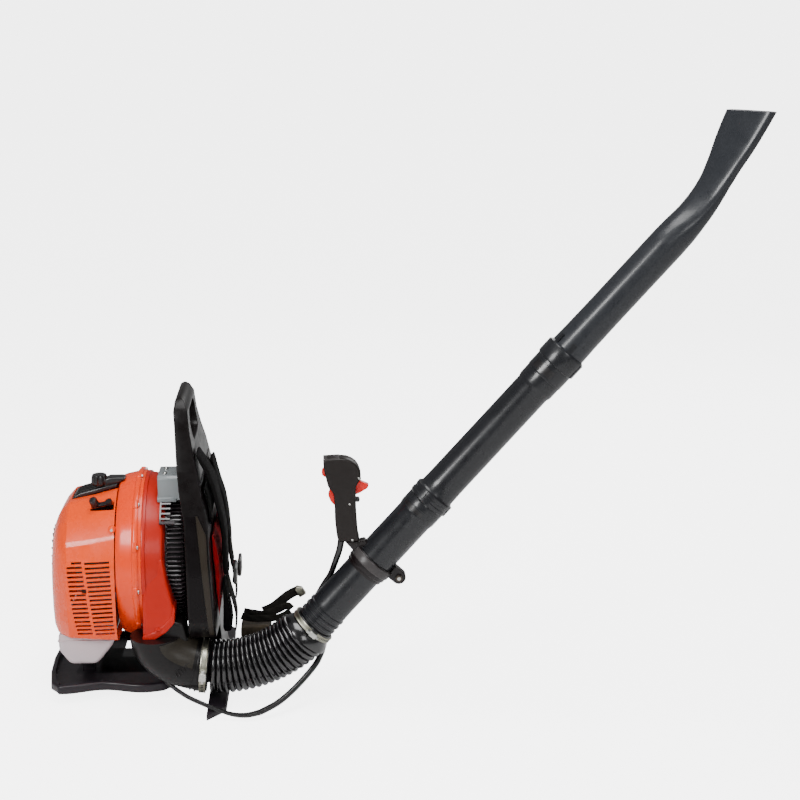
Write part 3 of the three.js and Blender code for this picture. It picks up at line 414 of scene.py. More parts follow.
def make_studio():
    mesh = bpy.data.meshes.new("floor")
    half = 12
    mesh.from_pydata([(-half, -half, 0), (half, -half, 0), (half, half, 0), (-half, half, 0)],
                     [], [(0, 1, 2, 3)])
    floor = bpy.data.objects.new("floor", mesh)
    bpy.context.collection.objects.link(floor)
    material = bpy.data.materials.new("pale_floor")
    tree, shader = nodes_of(material)
    pale = ramp(tree, noise(tree, 3, 2), [(0.4, grey(0.86)), (0.6, grey(0.9))])
    tree.links.new(pale, shader.inputs["Base Color"])
    shader.inputs["Roughness"].default_value = 0.8
    # The floor glows to the camera alone, so it reads white without lighting the object.
    glow = tree.nodes.new("ShaderNodeEmission")
    glow.inputs["Strength"].default_value = FLOOR_GLOW
    both = tree.nodes.new("ShaderNodeAddShader")
    tree.links.new(shader.outputs["BSDF"], both.inputs[0])
    tree.links.new(glow.outputs["Emission"], both.inputs[1])
    seen = tree.nodes.new("ShaderNodeLightPath")
    pick = tree.nodes.new("ShaderNodeMixShader")
    tree.links.new(seen.outputs["Is Camera Ray"], pick.inputs["Fac"])
    tree.links.new(shader.outputs["BSDF"], pick.inputs[1])
    tree.links.new(both.outputs["Shader"], pick.inputs[2])
    tree.links.new(pick.outputs["Shader"], tree.nodes["Material Output"].inputs["Surface"])
    mesh.materials.append(material)

    world = bpy.data.worlds.new("world")
    world.use_nodes = True
    background = world.node_tree.nodes["Background"]
    background.inputs["Color"].default_value = (1, 1, 1, 1)
    background.inputs["Strength"].default_value = 0.22
    sky = world.node_tree.nodes.new("ShaderNodeBackground")
    sky.inputs["Strength"].default_value = FLOOR_GLOW * 1.3
    seen = world.node_tree.nodes.new("ShaderNodeLightPath")
    pick = world.node_tree.nodes.new("ShaderNodeMixShader")
    links = world.node_tree.links
    links.new(seen.outputs["Is Camera Ray"], pick.inputs["Fac"])
    links.new(background.outputs["Background"], pick.inputs[1])
    links.new(sky.outputs["Background"], pick.inputs[2])
    links.new(pick.outputs["Shader"], world.node_tree.nodes["World Output"].inputs["Surface"])
    bpy.context.scene.world = world
    area_light("key", (-1.7, -2.5, 2.3), (0.1, 0, 0.3), 1.1, 95)
    area_light("overhead", (0.3, -0.5, 2.9), (0.3, 0, 0.3), 1.6, 70)
    area_light("front", (1.6, -3.4, 1.9), (0.4, 0, 0.4), 1.2, 30)
    area_light("rear", (1.6, 2.2, 1.6), (0.2, 0, 0.4), 1.5, 20)


# ------------------------------------------------------------ throttle cable
CONDUIT = [(351.5, -135, 290.4), (348, -132, 272), (341, -124, 248), (333, -111, 222),
           (321, -102, 200), (306, -97, 172)]
CABLE_UPPER = [(305.2, -96.2, 169.9), (303, -92, 158), (305, -89, 142), (311, -89.5, 126),
               (318, -95, 111), (321, -105, 97), (316.6, -119.6, 83.6)]
CABLE_MIDDLE = [(316.6, -119.6, 83.6), (307, -137, 70), (289, -158, 55), (265, -180, 38),
                (240, -197, 24), (211.4, -208.1, 12.9)]
CABLE_LOWER = [(211.4, -208.1, 12.9), (188, -212, 10), (164, -209, 11), (138, -201, 17),
               (113, -186, 21), (86, -165, 25), (62, -141, 31), (44, -120, 37), (31, -100, 44),
               (25, -82, 54), (26, -69, 66), (29, -63, 76), (29.5, -62.3, 83)]
CABLE_RADIUS = 4
SLEEVE_RADIUS = 5.5  # the ribbed sleeve over the upper part
CABLE_RIB = 3.0  # pitch of its corrugations


def make_cable_run(name, route, radius):
    """One stretch of the corrugated cable sheath."""
    path = evenly(spline(route, 12), CABLE_RIB / 4)
    last = len(path) - 1

    def thick(i):
        # The lower run starts inside the sleeve and thins to the bare sheath.
        sleeve = SLEEVE_RADIUS if radius > CABLE_RADIUS else max(
            CABLE_RADIUS, SLEEVE_RADIUS - 1.5 * i / last * 5)
        return sleeve - (0.0, 0.35, 0.7, 0.35)[i % 4]
    shape = sweep(path, thick, 14)
    cable = piece(name + "_sheath", shape, CABLE, None, (name,))
    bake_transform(cable)
    return cable


def make_cable():
    make_cable_run("throttle_cable_upper", CABLE_UPPER, SLEEVE_RADIUS)
    make_cable_run("throttle_cable_middle", CABLE_MIDDLE, SLEEVE_RADIUS)
    make_cable_run("throttle_cable_lower", CABLE_LOWER, CABLE_RADIUS)


make_camera()
make_studio()
make_cable()


# ------------------------------------------------------------ hose and pipes
HOSE_START = (122, 68, radians(-5.5))
HOSE_RADIUS = 207
HOSE_CENTRE = Vector((HOSE_START[0] - HOSE_RADIUS * sin(HOSE_START[2]), TUBE_Y,
                      HOSE_START[1] + HOSE_RADIUS * cos(HOSE_START[2])))
RIDGES = 18


def hose_point(angle):
    """A point on the hose's centre line, and the line's upward normal there."""
    up = Vector((-sin(angle), 0, cos(angle)))
    return HOSE_CENTRE - up * HOSE_RADIUS, up


def bellows(first, last, ridges):
    """Rounded ridges and sharp valleys between two angles of the hose's bend."""
    steps = 10
    loops = []
    for i in range(ridges * steps + 1):
        centre, up = hose_point(first + (last - first) * i / (ridges * steps))
        crest = abs(sin(pi * (i / steps))) ** 0.55
        loops.append(circle(centre, SIDE, up, 40.5 + 5.5 * crest, 72))
    return loops


def make_hose():
    first, last = HOSE_START[2] + radians(1.3), radians(43.5)
    split = first + (last - first) * 8 / RIDGES
    lower = loft(bellows(first, split, 8))
    lower_hose = piece("hose_lower", lower, RUBBER, None, ("hose_bellows",), 50)
    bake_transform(lower_hose)

    loops = bellows(split, last, RIDGES - 8)
    for along, radius in ((-34, 44), (-33, 45.4), (-24, 43.5), (-19, 39.5), (-16.5, 37.6), (-16, 37),
                          (-4, 37), (-3.2, 36.4)):
        loops.append(circle(PIPE @ Vector((along, 0, 0)), SIDE, ACROSS, radius, 72))
    upper_hose = piece("hose_upper", loft(loops), RUBBER, None, ("hose_bellows",), 50)
    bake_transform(upper_hose)


def clamp_band(name, x0, x1, inner, matrix, body, nodes):
    """A worm-drive band clamp: rolled edges, a slotted strip and its screw housing."""
    band = lathe([(x0, inner), (x0, inner + 1.9), (x0 + 1.2, inner + 2.2), (x0 + 2.2, inner + 1.3),
                  (x1 - 2.2, inner + 1.3), (x1 - 1.2, inner + 2.2), (x1, inner + 1.9), (x1, inner)],
                 matrix, 96, closed=True)
    middle = (x0 + x1) / 2
    housing = block(x0 - 0.5, x1 + 0.5, -inner - 11, -inner - 0.5, -7, 7).bevelled(1.6, 3)
    screw = rod((middle, -inner - 6.5, 6), (middle, -inner - 6.5, 13), 4.2, 6)
    barrel = rod((middle, -inner - 6.5, -11), (middle, -inner - 6.5, -6), 2.6, 16)
    slits = Shape()
    for i in range(26):
        slits += saddle(x0 + 3, x1 - 3, 186 + i * 6, 1.0, inner + 1.25, inner + 1.75, matrix, 1)
    clamp = piece(name, band, STEEL, body, nodes)
    fixing = piece(name + "_housing", (housing + screw + barrel).placed(matrix), BRIGHT, body)
    teeth = piece(name + "_teeth", slits, BLACK, body)
    return clamp, fixing, teeth


def make_clamps():
    lower = Matrix.Rotation(-HOSE_START[2], 4, "Y")
    lower.translation = Vector((HOSE_START[0], TUBE_Y, HOSE_START[1]))
    clamp_band("lower_hose_band", -13, -2, 44.8, lower, "machine",
               ("lower_hose_clamp", "lower_clamp_screw"))
    clamp_band("upper_hose_band", -14, -5, 37.3, PIPE, "hose_cuff",
               ("upper_hose_clamp", "upper_clamp_screw"))


def make_swivel_pipe():
    ribs = []
    for x in (3, 14, 25):
        ribs += [(x, 33.4), (x + 1, 35.2), (x + 4.5, 35.2), (x + 5.5, 33.4)]
    profile = [(-2, 31), (-2, 33.4)] + ribs + [
        (38, 33.4), (40, 33.1), (120, 33), (250, 32.6), (254, 33.4), (258, 34.4), (281, 34.5),
        (282.5, 33.8), (283, 31)]
    shape = lathe(profile, PIPE, 96, closed=True)
    # Mould seams along the tube, and the bayonet window near its end.
    for angle in (-90, 90):
        shape += saddle(42, 250, angle, 1.2, 32, 33.5, steps=2)
    for x0, x1 in ((258, 260.5), (268, 270.5)):
        shape += saddle(x0, x1, 148, 38, 33, 35.4)
    for angle in (109, 187):
        shape += saddle(258, 270.5, angle, 3, 33, 35.4, steps=3)
    piece("swivel_pipe_shell", shape, PIPE_GREY, "pipe", ("swivel_pipe",))
    window = saddle(260.2, 268.3, 148, 36, 33, 34.7)
    piece("bayonet_window", window, BLACK, "pipe")


def make_middle_pipe():
    profile = [(246, 28.5), (246, 30.5), (283.3, 30.5), (283.3, 35.2), (284.5, 36), (290, 36.1),
               (291, 35.2), (296, 35.2), (297, 36.1), (303, 36), (305, 33.5), (308, 32),
               (330, 31.5), (545, 31), (550, 32.6), (553, 33.2), (571.6, 33.2), (571.6, 30.5),
               (612, 30.4), (612, 28.5)]
    shape = lathe(profile, PIPE, 96, closed=True)
    for angle in (-90, 90):
        shape += saddle(309, 546, angle, 1.2, 30.5, 32, steps=2)
    for angle in (20, 140, 260):
        shape += saddle(284, 303, angle, 9, 35, 37)
    piece("middle_pipe_shell", shape, PIPE_GREY, "middle_pipe", ("middle_pipe",))


NOZZLE_BEND = (890, 130, radians(17))  # where it starts, how long it is, how far it turns
NOZZLE_ROLL = radians(55)
NOZZLE_MOUTH_Z = 1006


def smooth_step(x):
    x = min(max(x, 0), 1)
    return x * x * (3 - 2 * x)


def nozzle_sections():
    """Stations of the nozzle: along, half width, half thickness, squareness."""
    stations = [(600, 34.4, 34.4, 2), (628, 34.6, 34.6, 2), (631, 31.5, 31.5, 2), (660, 30.6, 30.6, 2),
                (720, 30, 30, 2), (872, 30, 30, 2), (899, 30, 26.5, 2.1), (927, 29.5, 20.5, 2.2),
                (950, 29.5, 17, 2.3), (972, 29.5, 14, 2.4), (995, 30, 12, 2.6),
                (1026, 33.5, 11, 2.8), (1057, 39, 11, 3), (1080, 42, 11, 3), (1115, 45, 11, 3),
                (1150, 47, 11, 3)]
    fine = []
    for (a, *low), (b, *high) in zip(stations, stations[1:]):
        steps = max(1, round((b - a) / 10))
        for i in range(steps):
            t = i / steps
            fine.append((a + (b - a) * t, *(p + (q - p) * t for p, q in zip(low, high))))
    return fine + [stations[-1]]


def make_nozzle():
    start, length, angle = NOZZLE_BEND
    centre, last = Vector((600, 0, 0)), 600
    outer, inner = [], []
    for along, wide, thick, power in nozzle_sections():
        middle = angle * smooth_step(((along + last) / 2 - start) / length)
        centre = centre + Vector((cos(middle), 0, sin(middle))) * (along - last)
        last = along
        turn = angle * smooth_step((along - start) / length)
        up = Vector((-sin(turn), 0, cos(turn)))
        across = up * cos(NOZZLE_ROLL) + SIDE * sin(NOZZLE_ROLL)
        through = SIDE * cos(NOZZLE_ROLL) - up * sin(NOZZLE_ROLL)
        outer.append(circle(centre, across, through, wide, 72, thick, power))
        inner.append(circle(centre, across, through, wide - 2.2, 72, thick - 2.2, power))
    shape = loft(outer + inner[::-1], closed=True).placed(PIPE)
    mesh = bmesh.new()
    verts = [mesh.verts.new(p) for p in shape.points]
    for face in shape.faces:
        mesh.faces.new([verts[i] for i in face])
    cut = bmesh.ops.bisect_plane(mesh, geom=mesh.verts[:] + mesh.edges[:] + mesh.faces[:],
                                 plane_co=(0, 0, NOZZLE_MOUTH_Z), plane_no=UP, clear_outer=True)
    rim = [e for e in cut["geom_cut"] if isinstance(e, bmesh.types.BMEdge)]
    bmesh.ops.bridge_loops(mesh, edges=rim)
    mesh.verts.index_update()
    shell = Shape([v.co.copy() for v in mesh.verts], [[v.index for v in f.verts] for f in mesh.faces])
    mesh.free()
    piece("nozzle_shell", shell, NOZZLE_GREY, "nozzle", ("nozzle",))

    # The collar: a plain half with its locking window, then a thicker ring with two tabs.
    collar = lathe([(572, 31), (572, 33.6), (573, 34.1), (598, 34.1), (599, 35.4), (601, 35.8),
                    (626, 35.8), (628, 35.2), (629, 33), (629, 31)], PIPE, 96, closed=True)
    for x0, x1 in ((574, 576.5), (590, 592.5)):
        collar += saddle(x0, x1, 150, 36, 33.5, 35)
    for turn in (113, 187):
        collar += saddle(574, 592.5, turn, 3, 33.5, 35, steps=3)
    for turn in (118, 170):
        collar += saddle(629, 647, turn, 6, 30.5, 33.4, steps=4)
    for turn in (-60, 60, 240):
        collar += saddle(600, 627, turn, 8, 35, 36.8)
    piece("nozzle_collar", collar, PIPE_GREY, "nozzle")
    piece("collar_window", saddle(576.3, 590.2, 150, 34, 33, 34.4), BLACK, "nozzle")


# ------------------------------------------------------------ elbow
def make_elbow():
    p0, p1, p2, p3 = (Vector((34, TUBE_Y, 127)), Vector((34, TUBE_Y, 92)), Vector((76, TUBE_Y, 72.5)),
                      Vector((HOSE_START[0], TUBE_Y, HOSE_START[1])))
    loops = []
    steps = 40
    centres = []
    for i in range(steps + 1):
        t = i / steps
        centre = (p0 * (1 - t) ** 3 + p1 * 3 * t * (1 - t) ** 2 + p2 * 3 * t * t * (1 - t) + p3 * t ** 3)
        tangent = ((p1 - p0) * (1 - t) ** 2 + (p2 - p1) * 2 * t * (1 - t) + (p3 - p2) * t * t).normalized()
        up = tangent.cross(SIDE) * -1
        radius = 44 - t
        if 0.86 <= t <= 0.93:
            radius += 1.4
        loops.append(circle(centre, SIDE, up, radius, 72))
        centres.append((centre, up, radius))
    shell = loft(loops)
    cheek = prism([(16, 112), (16, 129), (65, 156), (84, 151), (89, 118), (112, 112), (112, 98),
                   (60, 94)], -151, -102).bevelled(6, 4)
    piece("elbow_shell", shell + cheek, ELBOW_BLACK, "machine", ("elbow",), 40)
    # A raised, paler skin along the outside of the bend.
    skin = []
    for centre, up, radius in centres[2:33]:
        arc = [radians(-90 + turn) for turn in range(-78, 79, 6)]
        outer = [centre + (SIDE * cos(a) + up * sin(a)) * (radius + 1.3) for a in arc]
        inner = [centre + (SIDE * cos(a) + up * sin(a)) * (radius - 1) for a in reversed(arc)]
        skin.append(outer + inner)
    piece("elbow_outer_skin", loft(skin), ELBOW_BROWN, "machine", smooth=40)
    # Chevrons and rings that stiffen the mouth beside the hose clamp.
    ribs = Shape()
    for i in (33, 35, 38):
        centre, up, radius = centres[i]
        along = up.cross(SIDE)
        ribs += loft([circle(centre - along * 1.2, SIDE, up, radius + 1.6, 72),
                      circle(centre + along * 1.2, SIDE, up, radius + 1.6, 72)])
    for i in range(5):
        centre, up, radius = centres[26 + i]
        a, b = radians(180 - 18 + 7 * i), radians(180 + 4 + 5 * i)
        outward = [SIDE * cos(t) + up * sin(t) for t in (a, (a + b) / 2, b)]
        path = [centre + n * (radius + 0.4) for n in outward]
        path[1] = centres[24 + i][0] + outward[1] * (radius + 0.4)
        ribs += sweep(spline(path, 5), 1.1, 8)
    piece("elbow_ribs", ribs, ELBOW_BLACK, "machine", smooth=40)


make_hose()
make_clamps()
make_swivel_pipe()
make_middle_pipe()
make_nozzle()
make_elbow()


# ------------------------------------------------------------ carving
def temporary(shape):
    mesh = bpy.data.meshes.new("temporary")
    mesh.from_pydata([p * MM for p in shape.points], [], shape.faces)
    tidy = bmesh.new()
    tidy.from_mesh(mesh)
    bmesh.ops.remove_doubles(tidy, verts=tidy.verts, dist=1e-6)
    bmesh.ops.recalc_face_normals(tidy, faces=tidy.faces)
    tidy.to_mesh(mesh)
    tidy.free()
    obj = bpy.data.objects.new("temporary", mesh)
    bpy.context.collection.objects.link(obj)
    return obj


def evaluated(obj):
    """The shape of an object with its modifiers applied; the object is removed."""
    bpy.context.view_layer.update()
    final = obj.evaluated_get(bpy.context.evaluated_depsgraph_get()).to_mesh()
    shape = Shape([v.co / MM for v in final.vertices], [tuple(p.vertices) for p in final.polygons])
    bpy.data.objects.remove(obj)
    return shape


def carved(shape, *tools, operation="DIFFERENCE"):
    """A shape cut by tools, one after the other."""
    body = temporary(shape)
    cutters = [temporary(tool) for tool in tools]
    for cutter in cutters:
        modifier = body.modifiers.new("cut", "BOOLEAN")
        modifier.operation = operation
        modifier.solver = "EXACT"
        modifier.object = cutter
    result = evaluated(body)
    for cutter in cutters:
        bpy.data.objects.remove(cutter)
    return result


def softened(loop, reach):
    """A closed loop with each corner replaced by a short curve of a given reach."""
    out = []
    for i, corner in enumerate(loop):
        before, after = loop[i - 1] - corner, loop[(i + 1) % len(loop)] - corner
        a = corner + before * min(reach / before.length, 0.45)
        b = corner + after * min(reach / after.length, 0.45)
        out += [a, (a + b + corner * 2) / 4, b]
    return out


# ------------------------------------------------------------ engine cover
COVER_FRONT = -32
# Stations from the fan case to the rear: x, half width, top, bottom.
COVER_STATIONS = ((COVER_FRONT, 139, 364, 108), (-72, 137, 353, 110), (-114, 132, 344, 112),
                  (-117, 129.5, 342, 112.5), (-129, 116, 329, 113), (-137, 106, 315, 115),
                  (-144, 90, 297, 124), (-147, 76, 281, 133), (-148, 68, 271, 140))
# Half of the section: share of the half width, share of the height.
COVER_SECTION = ((0.36, 0.975), (0.66, 0.885), (0.86, 0.74), (0.97, 0.56), (1, 0.38),
                 (1, 0.16), (0.93, 0.03), (0.8, 0))
LOUVRE_ROWS = 17
LOUVRE_PITCH = 7.9
LOUVRE_TOP_Z = 254
STARTER_RADIUS = 58
ROPE_Z = FAN_Z - 42.4


def cover_loop(station, less):
    x, half, top, bottom = station
    side = [(a * (half - less), bottom + less + b * (top - bottom - 2 * less))
            for a, b in COVER_SECTION]
    loop = [Vector((x, -y, z)) for y, z in side] + [Vector((x, y, z)) for y, z in reversed(side)]
    return softened(loop, 5)


def louvre_slots():
    """Two columns of slots that lean with the cover's rear edge."""
    slots = Shape()
    for row in range(LOUVRE_ROWS):
        z = LOUVRE_TOP_Z - row * LOUVRE_PITCH
        lean = row / (LOUVRE_ROWS - 1)
        rear, bar, front = -113 + 14 * lean ** 1.5, -85 + 14 * lean, -40 + 4 * lean
        if row == 0:
            rear += 8
        for x0, x1 in ((rear, bar - 2.6), (bar + 2.6, front)):
            tilt = 0.07 * (x1 - x0)
            slots += prism([(x0, z - 2), (x1, z - 2 + tilt), (x1, z + 2 + tilt), (x0, z + 2)],
                           -160, -112)
    return slots


def make_engine_cover():
    outer = loft([cover_loop(s, 0) for s in COVER_STATIONS])
    inside = [(s[0] + (8 if i == 0 else 2.8), *s[1:]) for i, s in enumerate(COVER_STATIONS)]
    inner = loft([cover_loop(s, 2.8) for s in inside])
    starter = rod((-170, 0, FAN_Z), (-110, 0, FAN_Z), STARTER_RADIUS + 1.5, 96)
    square = block(-88, -80, -160, -112, 203, 211)
    tank_arch = block(-140, -40, -104, 104, 90, 118.5)
    rope_gate = block(-145, -129, 30, 150, ROPE_Z - 6, ROPE_Z + 6)
    filter_bay = block(-114, COVER_FRONT + 6, -31, 31, 326, 380)
    groove = rod((-100, -69, 322), (-34, -79, 339), 2, 24, 9)
    shell = carved(outer, inner, starter, louvre_slots(), square, tank_arch, rope_gate, filter_bay, groove)
    piece("engine_cover_shell", shell, ORANGE, "machine", ("engine_cover",), 24)
    # Small bosses and screws that fix the cover.
    for x, y, z in ((-36, -112, 309), (-40, -118, 126)):
        boss = lathe([(-4, 6.5), (3, 6), (4.4, 4.4), (4.4, 0)], Matrix(), 28)
        spot = Matrix.Translation((x, y, z)) @ Matrix.Rotation(radians(-90), 4, "Z")
        piece(f"cover_boss_{z}", boss.placed(spot), ORANGE, "machine")
        head = lathe([(4.2, 0), (4.2, 2.6), (4.9, 2.2), (4.9, 0)], spot, 20)
        piece(f"cover_screw_{z}", head, BRIGHT, "machine")


def make_air_cleaner():
    """A low ribbed lid on top of the cover, held by a fluted knob."""
    profile = [(-113.5, 336), (-110, 342), (-98, 348.5), (-66, 357), (-34, 364.5), (-34, 358.5),
               (-66, 349), (-96, 339), (-108, 334)]
    lid = prism(profile, -30, 24).bevelled(1.8, 3)
    for i in range(5):
        y = -22.5 + 9 * i
        lid += prism([(-106, 343), (-96, 347.5), (-66, 355.5), (-38, 362), (-38, 364.5), (-66, 358.5),
                      (-96, 351), (-106, 346)], y - 1.4, y + 1.4)
    lid += prism([(-58, 358), (-56, 371), (-48, 374.5), (-24, 374.5), (-20, 371), (-30, 366),
                  (-34, 360)], -26, -2).bevelled(2.5, 3)
    piece("air_cleaner_lid", lid, BLACK, "machine", ("air_cleaner_cover",))
    knob = []
    for z, radius in ((361, 12.5), (364, 14.4), (375, 13.6), (379, 12), (380, 9), (379, 0.01)):
        loop = []
        for i in range(72):
            turn = 2 * pi * i / 72
            flute = 1 - 0.13 * max(cos(8 * turn), 0) ** 2 if radius > 10 else 1
            loop.append(Vector((-66 + radius * flute * cos(turn), -18 + radius * flute * sin(turn), z)))
        knob.append(loop)
    shape = loft(knob) + rod((-66, -18, 347), (-66, -18, 362), 4.2, 24)
    piece("air_cleaner_knob_head", shape, BLACK, "air_cleaner_knob", ("air_cleaner_knob",))


# ------------------------------------------------------------ fan case and guard
RIM_RADIUS = 149.6
GUARD_RIBS = 96


def make_fan_case():
    band = lathe([(-30, 100), (-30, 136), (-27, 139), (-20, 141), (-8, 143.5), (-2, 145),
                  (-1, 147), (0, 148.6), (2, RIM_RADIUS), (6, RIM_RADIUS), (8, 148.6), (8, 146),
                  (13.7, 145.6), (13.7, 128), (-24, 126), (-24, 100)], FAN, 144, closed=True)
    for angle in range(0, 360, 30):
        turn = Matrix.Rotation(radians(angle + 8), 4, "X")
        lug = block(-1, 8, -9, 9, 144, 151.5).bevelled(2.5, 3).placed(FAN @ turn)
        band += lug
    piece("fan_case_band", band, BAND_ORANGE, "machine", ("fan_case_rear",))
    for angle in range(0, 360, 30):
        turn = FAN @ Matrix.Rotation(radians(angle + 8), 4, "X") @ Matrix.Translation((8, 0, 147.4))
        head = lathe([(0, 0), (0, 3.4), (1.6, 3.2), (2.4, 2.2), (2.4, 0)], turn, 24)
        piece(f"rim_screw_{angle}", head, BRIGHT, "machine")

    drum = lathe([(14, 128), (14, 145), (16, 145.6), (20, 145), (20.5, 143.2), (24, 142.2),
                  (42, 139.5), (48, 137), (51, 132.5), (52, 126), (52, 86), (48.5, 85), (48, 128)],
                 FAN, 144, closed=True)
    scoop = flared(SCOOP, 0, -98).bevelled(5, 4)
    lip = flared([(13.6, 118.5), (22, 120), (34.5, 126.3), (54, 138.3), (67.8, 154), (69.2, 178),
                  (66.6, 184), (63, 165), (50, 150.5), (32, 138.5), (13.6, 131.5)], 1.6, -97).bevelled(1.2, 2)
    tab = block(36, 45, -156.5, -146, 141, 145.5).bevelled(1, 2)
    piece("fan_case_drum", drum + scoop + lip + tab, DARK_ORANGE, "machine",
          ("fan_case_front",))


# Side view of the outlet scoop, which flares out of the drum toward its foot.
SCOOP = [(13.8, 120), (22, 121.5), (34, 128), (53, 140), (66, 155), (67.5, 178), (62, 200),
         (56, 224), (50, 262), (30, 262), (13.8, 236)]


def flared(outline, proud, far):
    """A block with an outline in XZ whose near face leans out as it goes down."""
    near = [Vector((x, -136 - proud - (262 - z) * 0.14, z)) for x, z in outline]
    return loft([near, [Vector((x, far, z)) for x, z in outline]])


def make_guard():
    """A comb of slim bars that run forward and turn in over the intake, on two rings."""
    bars = Shape()
    for i in range(GUARD_RIBS):
        angle = 360 * i / GUARD_RIBS
        start = 66 if 63 < angle < 117 else 52.5  # shorter beside the bracket
        outline = [(start, 122.4), (70, 124.6), (79, 124), (84.5, 120), (86.5, 113), (86.8, 97),
                   (84, 97), (83, 110), (80, 116), (70, 119), (start, 117.5)]
        bar = prism(outline, -1.35, 1.35).bevelled(0.5, 1, 50)
        bars += bar.placed(FAN @ Matrix.Rotation(radians(90 - angle), 4, "X"))
    rings = lathe([(52.4, 108), (52.4, 121), (55, 121), (55, 108)], FAN, 96, closed=True)
    rings += lathe([(83.5, 97), (87, 97), (87, 100.5), (83.5, 100.5)], FAN, 96, closed=True)
    # A band just inside the comb in the darkest black: painted shade, so the gaps between the bars read as
    # the dark intake behind them.
    painted_shade_band = lathe([(56, 116), (82, 114.5), (82, 112), (56, 113.5)], FAN, 96, closed=True)
    piece("guard_painted_shade_band", painted_shade_band, ELBOW_BLACK, "machine")
    # A raised rim round the first bars on the near side.
    for x0, x1, angle, half in ((44, 70, 141, 1), (44, 70, 123, 1), (44, 46.5, 132, 9)):
        rings += saddle(x0, x1, angle, half, 139.5, 143.5, FAN)
    for angle in range(126, 141, 4):
        rings += saddle(46, 62, angle, 0.6, 139.5, 142.6, FAN, 2)
    piece("guard_comb", bars, GUARD_BLACK, "machine", ("intake_guard",))
    piece("guard_rings", rings, GUARD_BLACK, "machine")
    outline = [(-80, 348), (-80, 386), (-74, 392), (-18, 392), (-18, 371.5), (-50, 364)]
    plate = prism(outline, 40, 103, "x").bevelled(2.2, 3)
    foot = prism([(-82, 346), (-82, 353), (-52, 368), (-50, 361)], 39, 72, "x").bevelled(1.2, 2)
    piece("top_bracket_plate", plate + foot, BRACKET, "machine", ("top_bracket",))
    for y in (-64, -34):
        head = lathe([(0, 0), (0, 4.2), (1.8, 4), (2.8, 2.8), (2.8, 0)], Matrix(), 24)
        turn = Matrix.Translation((52, y, 391.8)) @ Matrix.Rotation(radians(-90), 4, "Y")
        piece(f"bracket_screw_{-y}", head.placed(turn), BRIGHT, "machine")


make_engine_cover()
make_air_cleaner()
make_fan_case()
make_guard()


# ------------------------------------------------------------ back frame
FRAME_HALF = 168
FRAME_TOP = 526
# Rear and front edges of the frame as (height, x), and its half width as (y, height).
FRAME_REAR = ((12.5, 94), (171, 92), (264, 91), (335, 88), (343, 86), (379, 80), (421, 76),
              (454, 74), (491, 72), (505, 71))
FRAME_FRONT = ((12.5, 150), (60, 143), (123, 138), (151, 137), (201, 134), (263, 130), (316, 128),
               (339, 126), (367, 119), (412, 111), (440, 104), (473, 98), (505, 95), (520, 89))
FRAME_SIDE = ((50, 12), (60, 60), (62, 114), (150, 126), (FRAME_HALF, 156), (166, 240), (150, 330),
              (118, 410), (92, 470), (82, 505), (62, 524))
SEAM_Z = 341


def edge_at(edge, z):
    for (z0, x0), (z1, x1) in zip(edge, edge[1:]):
        if z <= z1:
            return x0 + (x1 - x0) * (z - z0) / (z1 - z0)
    return edge[-1][1]


def frame_rear(z):
    return edge_at(FRAME_REAR, z)


def frame_front(z):
    return edge_at(FRAME_FRONT, z)


def frame_half_width(z):
    for (y0, z0), (y1, z1) in zip(FRAME_SIDE, FRAME_SIDE[1:]):
        if z <= z1:
            return y0 + (y1 - y0) * (z - z0) / (z1 - z0)
    return FRAME_SIDE[-1][0]


def rounded_rectangle(y0, y1, z0, z1, radius, steps=8):
    points = []
    for cy, cz, start in ((y1 - radius, z1 - radius, 0), (y0 + radius, z1 - radius, 90),
                          (y0 + radius, z0 + radius, 180), (y1 - radius, z0 + radius, 270)):
        for i in range(steps + 1):
            turn = radians(start + 90 * i / steps)
            points.append((cy + radius * cos(turn), cz + radius * sin(turn)))
    return points


